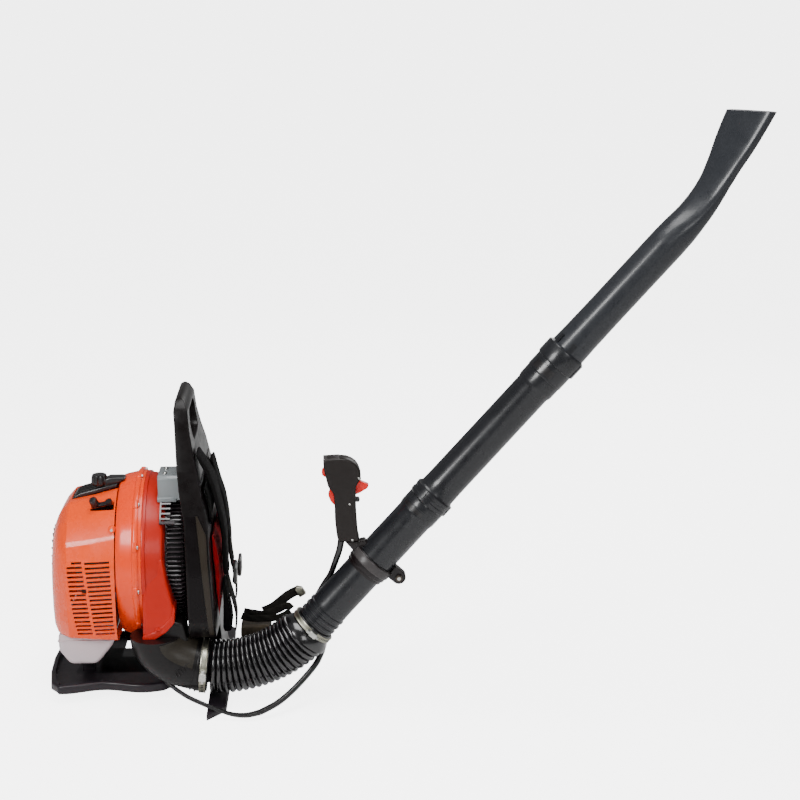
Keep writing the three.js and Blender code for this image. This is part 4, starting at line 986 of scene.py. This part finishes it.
def make_back_frame():
    profile = [(x, z) for z, x in FRAME_FRONT] + [(81, FRAME_TOP), (73, 520)] + [
        (x, z) for z, x in reversed(FRAME_REAR)]
    slab = prism(profile, -FRAME_HALF - 2, FRAME_HALF + 2)
    outline = [(y, z) for y, z in FRAME_SIDE] + [(40, FRAME_TOP + 1)]
    outline = outline + [(-y, z) for y, z in reversed(outline)]
    solid = carved(slab, prism(outline, 40, 170, "x"), operation="INTERSECT")
    wall = 9
    inner = [(max(y - wall, 40), z) for y, z in FRAME_SIDE]
    inner = inner + [(-y, z) for y, z in reversed(inner)]
    pocket = [(60, 30), (frame_front(30) - wall, 30), (frame_front(182) - wall, 182),
              (frame_front(300) - wall, 300), (frame_front(425) - wall, 425), (60, 425)]
    hollow = carved(prism(pocket, -160, 160), prism(inner, 40, 170, "x"), operation="INTERSECT")
    handle = prism(rounded_rectangle(-56, 56, 446, 500, 20), 40, 170, "x")
    shell = carved(solid, hollow, handle).bevelled(4.5, 4, 40)
    piece("back_frame_shell", shell, FRAME_BLACK, "machine", ("back_frame",), 40)

    # Lower side plates on each side of a crease, below a slanting seam.
    levels = [133 + (SEAM_Z - 133) * i / 14 for i in range(15)]
    for side in (-1, 1):
        for name, lift, material in (("rear", 1.2, FRAME_DARK), ("front", 2.4, FRAME_BROWN)):
            loops = []
            for z in levels:
                crease = 109 + (331 - z) * 0.09
                ends = (frame_rear(z) + 4, crease) if name == "rear" else (crease + 0.6, frame_front(z) - 3)
                if name == "front" and z > 310:
                    ends = (crease + 0.6, crease + 3 + (frame_front(z) - crease - 6) * (SEAM_Z - z) / 31)
                y = frame_half_width(z) * side
                loops.append([Vector((ends[0], y - side * 2, z)), Vector((ends[1], y - side * 2, z)),
                              Vector((ends[1], y + side * lift, z)), Vector((ends[0], y + side * lift, z))])
            piece(f"frame_{name}_plate_{'right' if side < 0 else 'left'}", loft(loops), material,
                  "machine", smooth=40)
    # Ribs that stiffen the hollow behind the back rest.
    ribs = Shape()
    for y in (-90, -45, 0, 45, 90):
        ribs += prism([(frame_rear(150) + 8, 150), (frame_front(150) - 8, 150),
                       (frame_front(400) - 8, 400), (frame_rear(400) + 8, 400)], y - 1.5, y + 1.5)
    for z in (200, 270, 340):
        ribs += block(frame_rear(z) + 10, frame_front(z) - 8, -120, 120, z - 1.5, z + 1.5)
    piece("frame_ribs", ribs, FRAME_BROWN, "machine")


# ------------------------------------------------------------ base, tank and feet
def wave(x):
    return 126 + 7 * cos((x + 130) / 22)


def tray_plan(shrink=0.0):
    edge = [(x, -wave(x) + shrink) for x in range(-137, 46, 5)]
    right = edge + [(58 - shrink, -112 + shrink), (62 - shrink, -52)]
    rear = [(-144 + shrink, 122 - shrink), (-152 + shrink, 112 - shrink), (-160 + shrink, 60),
            (-163 + shrink, 0), (-160 + shrink, -60), (-152 + shrink, -112 + shrink),
            (-144 + shrink, -122 + shrink)]
    return right + [(x, -y) for x, y in reversed(right)] + rear


def make_tray():
    deck = prism(tray_plan(3), 18, 24, "z")
    rim = carved(prism(tray_plan(), 18, 34, "z").bevelled(4.5, 5),
                 prism(tray_plan(8), 10, 50, "z"))
    window = block(-45, 5, 14, 104, 0, 60)
    sole = block(-120, 62, -58, 58, 0, 24).bevelled(3, 3)
    saddle_block = block(-108, -84, -44, 44, 22, 59.7).bevelled(3, 3)
    neck = block(60, 120.7, -52, 52, 0, 12)
    shell = carved(deck + Shape(), window) + carved(rim, window) + sole + saddle_block + neck
    piece("tray_shell", shell, TRAY, "machine", ("base_tray",), 30)
    foot = [(121, -212), (153, -175), (156, 0), (153, 175), (121, 212)]
    bar = prism(foot, 0, 12, "z").bevelled(2, 3)
    piece("foot_bar", bar, TRAY, "machine", ("front_foot_bar",))


def make_tank():
    profile = [(-138, 118), (-138, 86), (-119, 60), (-74, 60), (-64, 70), (-42, 98), (-42, 118)]
    tank = prism(profile, -102, 102).bevelled(8, 6)
    seam = prism([(-138.6, 103), (-138.6, 105.5), (-41.4, 105.5), (-41.4, 103)], -103.4, 103.4).bevelled(1, 2)
    neck = rod((-87, 90, 80), (-87, 112, 80), 17, 48)
    piece("tank_shell", tank + seam + neck, TANK, "machine", ("fuel_tank",))
    cap_loops = []
    for y, radius in ((112.4, 17.5), (113.4, 19), (122, 19), (124.6, 17.4), (125.4, 14), (125.4, 0.01)):
        loop = []
        for i in range(96):
            turn = 2 * pi * i / 96
            grip = 1 - 0.045 * (i % 4 > 1) if radius > 15 else 1
            loop.append(Vector((-87 + radius * grip * cos(turn), y, 80 + radius * grip * sin(turn))))
        cap_loops.append(loop)
    cap = loft(cap_loops) + block(-100, -74, 124.5, 128, 77.5, 82.5).bevelled(1, 2)
    piece("fuel_cap_head", cap, BLACK, "fuel_cap", ("fuel_cap",))


# ------------------------------------------------------------ starter
def make_starter():
    turn = Matrix.Rotation(pi, 4, "Z")
    turn.translation = Vector((0, 0, FAN_Z))
    rings = [(128, 53), (128, STARTER_RADIUS - 0.5), (146, STARTER_RADIUS - 0.5), (148, 56), (148.8, 48),
             (149.2, 40), (150.6, 34), (151, 20), (151.2, 0)]
    cover = lathe(rings, turn, 96)
    fins = Shape()
    for i in range(24):
        fin = block(147.5, 150.4, -1.2, 1.2, 38, 54).bevelled(0.6, 2)
        fins += fin.placed(turn @ Matrix.Rotation(2 * pi * i / 24, 4, "X"))
    piece("starter_cover", cover + fins, BLACK, "machine", ("starter_housing",))
    bar = Shape()
    loops = []
    for i in range(25):
        z = -32 + 64 * i / 24
        swell = 6.2 + 1.8 * cos(pi * z / 64) ** 2
        if abs(z) > 29:
            swell *= 0.75
        centre = Vector((-137, 154.6, ROPE_Z + z))
        loops.append(circle(centre, Vector((1, 0, 0)), SIDE, swell, 28))
    bar += loft(loops)
    piece("starter_handle", bar, BLACK, "starter_grip", ("starter_grip",))
    path = [Vector((-137, 2 + 144 * i / 60, ROPE_Z)) for i in range(61)]
    rope = sweep(path, lambda i: 2.0 - 0.25 * (i % 2), 10)
    stretch = piece("starter_cord", rope, BLACK_CLOTH, None, ("starter_rope",))
    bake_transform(stretch)


make_back_frame()
make_tray()
make_tank()
make_starter()


# ------------------------------------------------------------ control grip and its clamp
GRIP_OUTLINE = [(322, 438), (361, 439), (378, 430), (386, 412), (385, 400), (377, 390), (377, 352),
                (380, 306), (384, 292), (347, 292), (344, 300), (341, 330), (341, 354), (339, 378),
                (331, 386), (328, 396), (323, 420)]
POCKET_HALF = 7.5


def flat_loop(points, y):
    return [Vector((x, y, z)) for x, z in points]


def inset(loop, distance):
    """A closed loop in an XZ plane moved inward, for a loop that runs clockwise."""
    out = []
    for i, point in enumerate(loop):
        along = (loop[(i + 1) % len(loop)] - loop[i - 1]).normalized()
        out.append(point + Vector((along.z, 0, -along.x)) * distance)
    return out


def make_grip():
    outline = softened(flat_loop(GRIP_OUTLINE, 0), 8)
    pockets = [block(x0, x1, TUBE_Y - POCKET_HALF, TUBE_Y + POCKET_HALF, z0, z1)
               for x0, x1, z0, z1 in ((351, 395, 362, 410), (310, 352, 350, 390), (305, 336, 400, 425))]
    for side, name in ((-1, "right"), (1, "left")):
        loops = []
        for out, less in ((0.1, 0.9), (0.7, 0.1), (6, 0), (11, 0.3), (13.4, 1), (14.6, 1.8), (15, 2.6)):
            y = Vector((0, TUBE_Y + side * out, 0))
            loops.append([p + y for p in inset(outline, less)])
        half = carved(loft(loops), *pockets)
        piece(f"grip_shell_{name}", half, GRIP_BLACK, "pipe", (f"grip_{name}",), 40)
        for x, z in ((382, 404), (366, 359), (370, 296)):
            spot = Matrix.Translation((x, TUBE_Y + side * 13.2, z)) @ Matrix.Rotation(
                radians(90 * side), 4, "Z")
            head = lathe([(0, 0.01), (0, 2.3), (1.5, 2.2), (2.1, 1.4), (2.1, 0.01)], spot, 20)
            ring = lathe([(-1, 2.4), (1.3, 2.6), (1.3, 3.6), (-1, 3.6)], spot, 24, closed=True)
            piece(f"grip_screw_{name}_{z}", head, BRIGHT, "pipe")
            piece(f"grip_recess_{name}_{z}", ring, BLACK, "pipe")
    top = prism([(323.4, 430), (322.6, 437.4), (349, 438.8), (352, 436), (345, 430.5)],
                TUBE_Y - 14.2, TUBE_Y + 14.2).bevelled(1, 2)
    piece("grip_top_plate", top, GRIP_GREY, "pipe")
    nub = prism([(374, 361), (374, 367), (382, 367), (384, 363), (381, 359)], TUBE_Y - 6, TUBE_Y + 6)
    piece("grip_nub", nub.bevelled(1.4, 3), BLACK, "pipe")

    moving = (
        ("trigger", [(360, 405), (360, 399), (367, 378), (372, 371), (384, 376), (397, 384), (399, 390),
                     (387, 395), (368, 406)]),
        ("trigger_lock", [(342, 353), (334, 362), (330, 373), (334, 384), (345, 384), (346, 354)]),
        ("stop_switch", [(325, 421), (320, 416), (320, 408), (325, 404), (332, 404), (332, 421)]),
    )
    for name, points in moving:
        loop = softened(flat_loop(points, 0), 2.5)
        loops = []
        for out, less in ((-6.5, 1.2), (-5.4, 0.2), (-4, 0), (4, 0), (5.4, 0.2), (6.5, 1.2)):
            y = Vector((0, TUBE_Y + out, 0))
            edge = loop if name == "trigger_lock" else loop[::-1]
            loops.append([p + y for p in inset(edge, less)])
        piece(f"{name}_cap", loft(loops), RED, name, (name,), 40)


def make_handle_clamp():
    ring = lathe([(122, 33.5), (122, 35), (123, 35.6), (127, 35.6), (128.5, 37), (130, 37.6),
                  (150.5, 37.6), (152, 36.6), (152, 33.5)], PIPE, 96, closed=True)
    ears = Shape()
    bow = [(153 + 12 * cos(radians(a)), -52 + 12 * sin(radians(a))) for a in range(0, -181, -15)]
    for near, far in ((-9, -1.5), (1.5, 9)):
        ears += prism([(165, -34)] + bow + [(141, -34)], near, far).bevelled(1.5, 3).placed(PIPE)
    arm = prism([(357, 291.7), (384, 291.7), (393, 289), (398, 281), (388, 266), (376, 270)],
                TUBE_Y - 10, TUBE_Y + 10).bevelled(2.4, 3)
    knuckle = prism([(380, 287), (384, 294), (392, 295), (396, 289), (391, 281)],
                    TUBE_Y - 12, TUBE_Y + 6).bevelled(2, 3)
    piece("handle_clamp_body", ring + ears + arm + knuckle, CLAMP_BLACK, "pipe",
          ("handle_clamp",), 40)
    band = lathe([(136, 37), (136, 38.6), (137.2, 39.4), (149, 39.4), (150.4, 38.6), (150.4, 37)],
                 PIPE, 96, closed=True)
    piece("handle_clamp_band", band, GRIP_GREY, "pipe")
    across = PIPE @ Matrix.Translation((153, 0, -52)) @ Matrix.Rotation(radians(90), 4, "Z")
    bolt = lathe([(-14, 0.01), (-14, 6), (-9.2, 6), (-9.2, 3), (13, 3), (13, 0.01)], across, 6)
    head = lathe([(9.2, 5.4), (13.6, 5), (15, 3.6), (15, 0.01)], across, 28)
    piece("handle_clamp_bolt", bolt, DULL_STEEL, "pipe", ("handle_clamp_screw",))
    piece("handle_clamp_nut", lathe([(-15.2, 0.01), (-15.2, 3), (-13.8, 3.4), (-13.8, 0.01)], across, 24),
          BRIGHT, "pipe")
    piece("handle_clamp_head", head, BRIGHT, "pipe")
    path = spline(CONDUIT, 8)
    conduit = sweep(path, lambda i: 5.8 - 1.2 * i / len(path), 20)
    piece("conduit_sheath", conduit, BLACK, "pipe", ("cable_conduit",))


# ------------------------------------------------------------ small fittings
def make_fittings():
    choke = (Matrix.Translation((-43, -76, 345.3)) @ Matrix.Rotation(radians(30), 4, "X")
             @ Matrix.Rotation(radians(-17), 4, "Y"))
    lever = prism([(-32, -3.2), (-32, 3.2), (-18, 4.2), (5, 4.2), (5, -4.2), (-18, -4.2)],
                  -1.5, 2.4, "z").bevelled(0.9, 2)
    knob = []
    for z, radius in ((1, 6.6), (3, 7.6), (14, 7), (16.5, 6), (17, 4.4), (17, 0.01)):
        knob.append([Vector((-24 + radius * (1 - 0.12 * (i % 6 > 2)) * cos(2 * pi * i / 48),
                             radius * (1 - 0.12 * (i % 6 > 2)) * sin(2 * pi * i / 48), z))
                     for i in range(48)])
    lever += loft(knob) + rod((0, 0, -1.5), (0, 0, 4.5), 6, 32)
    piece("choke_handle", lever.placed(choke), BLACK, "choke_lever", ("choke_lever",))

    for y, name in ((-34, "right"), (34, "left")):
        stand = Matrix.Translation((38, y, 0)) @ Matrix.Rotation(radians(-90), 4, "Y")
        body = lathe([(30.5, 0.01), (30.5, 14), (33, 14.4), (37, 13), (43, 10.4), (52, 9), (62, 9),
                      (74, 10), (80, 12.4), (84, 13.4), (86.9, 13), (86.9, 0.01)], stand, 48)
        piece(f"{name}_mount_body", body, RUBBER, "machine", (f"{name}_rubber_mount",))
    gland = rod((30, -62, 84), (30, -62, 91), 7, 32) + rod((30, -62, 91), (30, -62, 97), 9, 6)
    piece("cable_gland_nut", gland, BLACK, "machine", ("cable_gland",))


make_grip()
make_handle_clamp()
make_fittings()


# ------------------------------------------------------------ harness: pads and straps
CLOTH_FRAMES = 16
# The fabric of the pads: light, hard to stretch, easy to fold.
CLOTH_SETTINGS = {"quality": 5, "mass": 0.2, "tension_stiffness": 30, "compression_stiffness": 6,
                  "bending_stiffness": 0.6, "use_pressure": True, "vertex_group_mass": "held"}


def puffed(shape, pinned, slack=8, voxel=5, pressure=4.0, shrink=1.2):
    """Padded fabric: the shape inflated as cloth. pinned tells which points stay where they are."""
    start = temporary(shape)
    remesh = start.modifiers.new("even", "REMESH")
    remesh.mode = "VOXEL"
    remesh.voxel_size = voxel * MM
    even = evaluated(start)
    mesh = bmesh.new()
    verts = [mesh.verts.new(p) for p in even.points]
    for face in even.faces:
        mesh.faces.new([verts[i] for i in face])
    mesh.normal_update()
    for vert in mesh.verts:
        vert.co -= vert.normal * shrink
    even = Shape([v.co.copy() for v in verts], even.faces)
    mesh.free()
    rest = [p.copy() for p in even.points]
    body = temporary(even)
    group = body.vertex_groups.new(name="held")
    for i, point in enumerate(rest):
        group.add([i], pinned(point), "REPLACE")
    cloth = body.modifiers.new("cloth", "CLOTH")
    for setting, value in CLOTH_SETTINGS.items():
        setattr(cloth.settings, setting, value)
    cloth.settings.uniform_pressure_force = pressure
    cloth.settings.effector_weights.gravity = 0
    cloth.point_cache.frame_start = 1
    cloth.point_cache.frame_end = CLOTH_FRAMES
    scene = bpy.context.scene
    for step in range(1, CLOTH_FRAMES + 1):
        scene.frame_set(step)
        bpy.context.view_layer.update()
    puffy = evaluated(body)
    scene.frame_set(1)
    points = []
    for before, after in zip(rest, puffy.points):
        moved = after - before
        if moved.length > slack:
            moved *= slack / moved.length
        points.append(before + moved)
    return Shape(points, even.faces)


def smoothed(shape):
    body = temporary(shape)
    body.modifiers.new("smooth", "SUBSURF").levels = 1
    return evaluated(body)


def strip(path, half, thick, y, wave=0.0):
    """A band along an XZ path: flat across, its thickness and wrinkles given in millimetres."""
    across = [-1, -0.94, -0.8, -0.5, 0, 0.5, 0.8, 0.94, 1]
    loops = []
    walked = 0.0
    for i, point in enumerate(path):
        if i:
            walked += (point - path[i - 1]).length
        along = (path[min(i + 1, len(path) - 1)] - path[max(i - 1, 0)]).normalized()
        out = Vector((along.z, 0, -along.x))
        t = thick(i / (len(path) - 1)) if callable(thick) else thick
        lift = wave * sin(walked / 9.0) * sin(walked / 23.0 + 1)
        outer, inner = [], []
        for s in across:
            rounding = t / 2 * sqrt(max(1 - abs(s) ** 8, 0.02))
            place = point + Vector((0, s * half, 0)) + out * lift * (0.4 + 0.6 * abs(s))
            place.y += y
            outer.append(place + out * rounding)
            inner.append(place - out * rounding)
        loops.append(outer + inner[::-1])
    return loft(loops)


def xz(points):
    return [(x, 0, z) for x, z in points]


def make_pads():
    front = [frame_front(z) + 0.6 for z in (395, 367, 339, 316)]
    upper = [(frame_front(312) + 0.6, 312), (134.5, 312), (131, 346), (122, 378), (front[0], 394),
             (front[1], 367), (front[2], 339), (front[3], 316)]
    held = lambda p: 1.0 if p.x < frame_front(p.z) + 2.5 else 0.0
    pad = puffed(prism(upper, -111, 111).bevelled(3, 2), held, 4, 4, 3)
    top = piece("back_pad_cover", smoothed(pad), BLACK_CLOTH, "machine", ("back_pad",), 180)

    low = [(frame_front(z) + 0.6, z) for z in (290, 263, 201, 151, 136)]
    profile = [low[4], (138, 129), (141.4, 150), (143.2, 192), (143.2, 252), (137.4, 286),
               (129.5, 300)] + low[:4]
    pad = puffed(prism(profile, -103, 103).bevelled(3, 2), held, 4, 4, 3)
    lumbar = piece("lumbar_cover", smoothed(pad), RED_CLOTH, "machine", ("lumbar_pad",), 180)
    spine = [(122.6, 383), (130, 376), (140.6, 346), (147.4, 312), (151.4, 280), (152.4, 250),
             (152.4, 227), (149, 222), (146, 226), (146, 254), (140.2, 289), (137, 312), (130, 346)]
    rear = lambda p: 1.0 if p.x < 141.5 + (228 - p.z) * 0.05 else 0.0
    pad = puffed(prism(spine, -36, 36).bevelled(2, 2), rear, 3, 4, 2)
    middle = piece("spine_cushion", smoothed(pad), BLACK_CLOTH, "machine",
                   ("spine_pad",), 180)
    for z in (178, 216, 254):
        channel = rod((143.4, -96, z), (143.4, 96, z), 0.8, 8)
        piece(f"lumbar_seam_{z}", channel, RED_CLOTH, "machine")


STRAPS = (
    ("right", -78, 10, 203, [(110, 437), (128, 400), (143, 346), (151, 298), (153, 236), (157, 200),
                             (164, 170), (169, 142), (168, 118)]),
    ("left", 78, 6, 160, [(124, 384), (127.5, 372), (133, 346), (141, 318), (147, 290), (150.5, 250),
                          (151.5, 220), (153, 200), (157, 170), (161, 142), (161, 118)]),
)
STRAP_HALF = 27.6


def make_straps():
    for name, y, padding, buckle, points in STRAPS:
        path = evenly(spline(xz(points), 12), 4)
        cut = next(i for i, point in enumerate(path) if point.z < buckle + 24)
        quilt = strip(path[:cut + 2], STRAP_HALF, lambda t: min(padding - 0.6, 4.6 + 60 * t), y,
                      wave=0.5)
        upper = piece(f"{name}_strap_padding", smoothed(quilt), BLACK_CLOTH, "machine",
                      (f"{name}_shoulder_strap",), 180)
        lower = path[cut - 1:]
        flat = strip(lower, STRAP_HALF - 4, 2.8, y, wave=0.3)
        band = piece(f"{name}_strap_webbing", flat, WEBBING, "machine")
        for side in (-1, 1):
            bead = [p + Vector((0, y + side * (STRAP_HALF - 2.2), 0)) for p in path[2:cut]]
            edge = sweep(bead, lambda i: 1.5, 8)
            piece(f"{name}_strap_binding_{'right' if side < 0 else 'left'}", edge, WEBBING, "machine")
        frame_loop = softened([Vector((168.5, a, b)) for a, b in (
            (y - 21.6, buckle + 0.4), (y + 21.6, buckle + 0.4), (y + 21.6, buckle + 27.6),
            (y - 21.6, buckle + 27.6))], 5)
        ring = sweep(frame_loop + frame_loop[:2], 3.1, 14)
        bars = Shape()
        for z in (buckle + 9, buckle + 19):
            bars += rod((168.5, y - 20, z), (168.5, y + 20, z), 2.6, 16)
        piece(f"{name}_buckle_frame", ring + bars, BLACK, "machine",
              (f"{name}_strap_buckle",), 40)
        step = prism([(y - 20, buckle + 1), (y + 20, buckle + 1), (y + 17, buckle + 8), (y - 17, buckle + 8)],
                     164, 172, "x").bevelled(1, 2)
        piece(f"{name}_buckle_lip", step, BLACK, "machine")


def make_belt():
    fold = [(144.9, 119), (146, 150), (146.9, 195), (149.2, 214), (152.4, 202), (159.4, 170),
            (163.8, 140), (163.2, 117), (150.4, 113)]
    nothing = lambda p: 1.0 if p.x < 147.5 else 0.0
    soft = puffed(prism(fold, -103, -45).bevelled(2, 2), nothing, 3, 4, 2)
    piece_fold = piece("waist_belt_padding", smoothed(soft), BLACK_CLOTH, "machine",
                       ("waist_belt_fold",), 180)

    hip = [(173, 108.4), (203, 109.9), (227, 111.2), (231, 101.8), (220.4, 90.6), (207.8, 82.8),
           (189, 78.8), (173, 84.6)]
    free = lambda p: 1.0 if p.x < 176 else 0.0
    soft = puffed(prism(hip, -65, -15).bevelled(2.4, 2), free, 3, 4, 2)
    wing = piece("hip_pad_cover", smoothed(soft), BROWN_CLOTH, "machine", ("hip_pad",), 180)

    # The loose end of the belt: a twisted ribbon that lies over itself three times.
    ways = (
        ("waist_ribbon_lower", -53.4, 6.2,
         [(176, 126), (190, 121), (212, 120), (236, 121), (252, 126), (262, 133)]),
        ("waist_ribbon_middle", -50, 6.6,
         [(180, 133), (194, 130), (214, 127), (238, 134), (256, 142), (264, 136)]),
        ("waist_ribbon_upper", -46.6, 8.6, [(214, 131), (232, 139), (248, 152), (263, 163), (276, 169)]),
    )
    for name, y, half, points in ways:
        path = evenly(spline(xz(points), 10), 3)
        loops = []
        for i, point in enumerate(path):
            along = (path[min(i + 1, len(path) - 1)] - path[max(i - 1, 0)]).normalized()
            out = Vector((-along.z, 0, along.x))
            face, back = [], []
            for s in (-1, -0.9, -0.5, 0, 0.5, 0.9, 1):
                sway = 0.5 * sin(i * 0.7 + s * 2.2)
                place = point + out * s * half + Vector((0, y + sway, 0))
                rounding = 0.9 * sqrt(1 - 0.9 * s ** 6)
                face.append(place - SIDE * rounding)
                back.append(place + SIDE * rounding)
            loops.append(face + back[::-1])
        replaced = ("waist_strap",) if name == "waist_ribbon_lower" else ()
        ribbon = piece(name, loft(loops), WEBBING, "machine", replaced, 180)
    tip_outline = [(279, 158), (290.4, 165), (283, 176.4), (273, 178.4), (270.6, 172)]
    tip = prism(tip_outline, -55.6, -44.4).bevelled(1.6, 3)
    piece("belt_tip", tip, STEEL, "machine", smooth=50)


make_pads()
make_straps()
make_belt()


# ------------------------------------------------------------ parts that keep their CAD shape
def paint(material, *nodes):
    for node in nodes:
        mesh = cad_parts[node].data
        mesh.materials.clear()
        mesh.materials.append(material)


CAD_FINISHES = (
    (BLACK, ("fan_impeller", "starter_pulley")),
    (RUBBER, ("spark_plug_boot",)),
    (ALUMINIUM, ("crankcase", "cylinder", "carburettor", "flywheel")),
    (DULL_STEEL, ("muffler", "crankshaft", "throttle_lever")),
    (FOAM, ("air_filter",)),
)
for finish, names in CAD_FINISHES:
    paint(finish, *names)
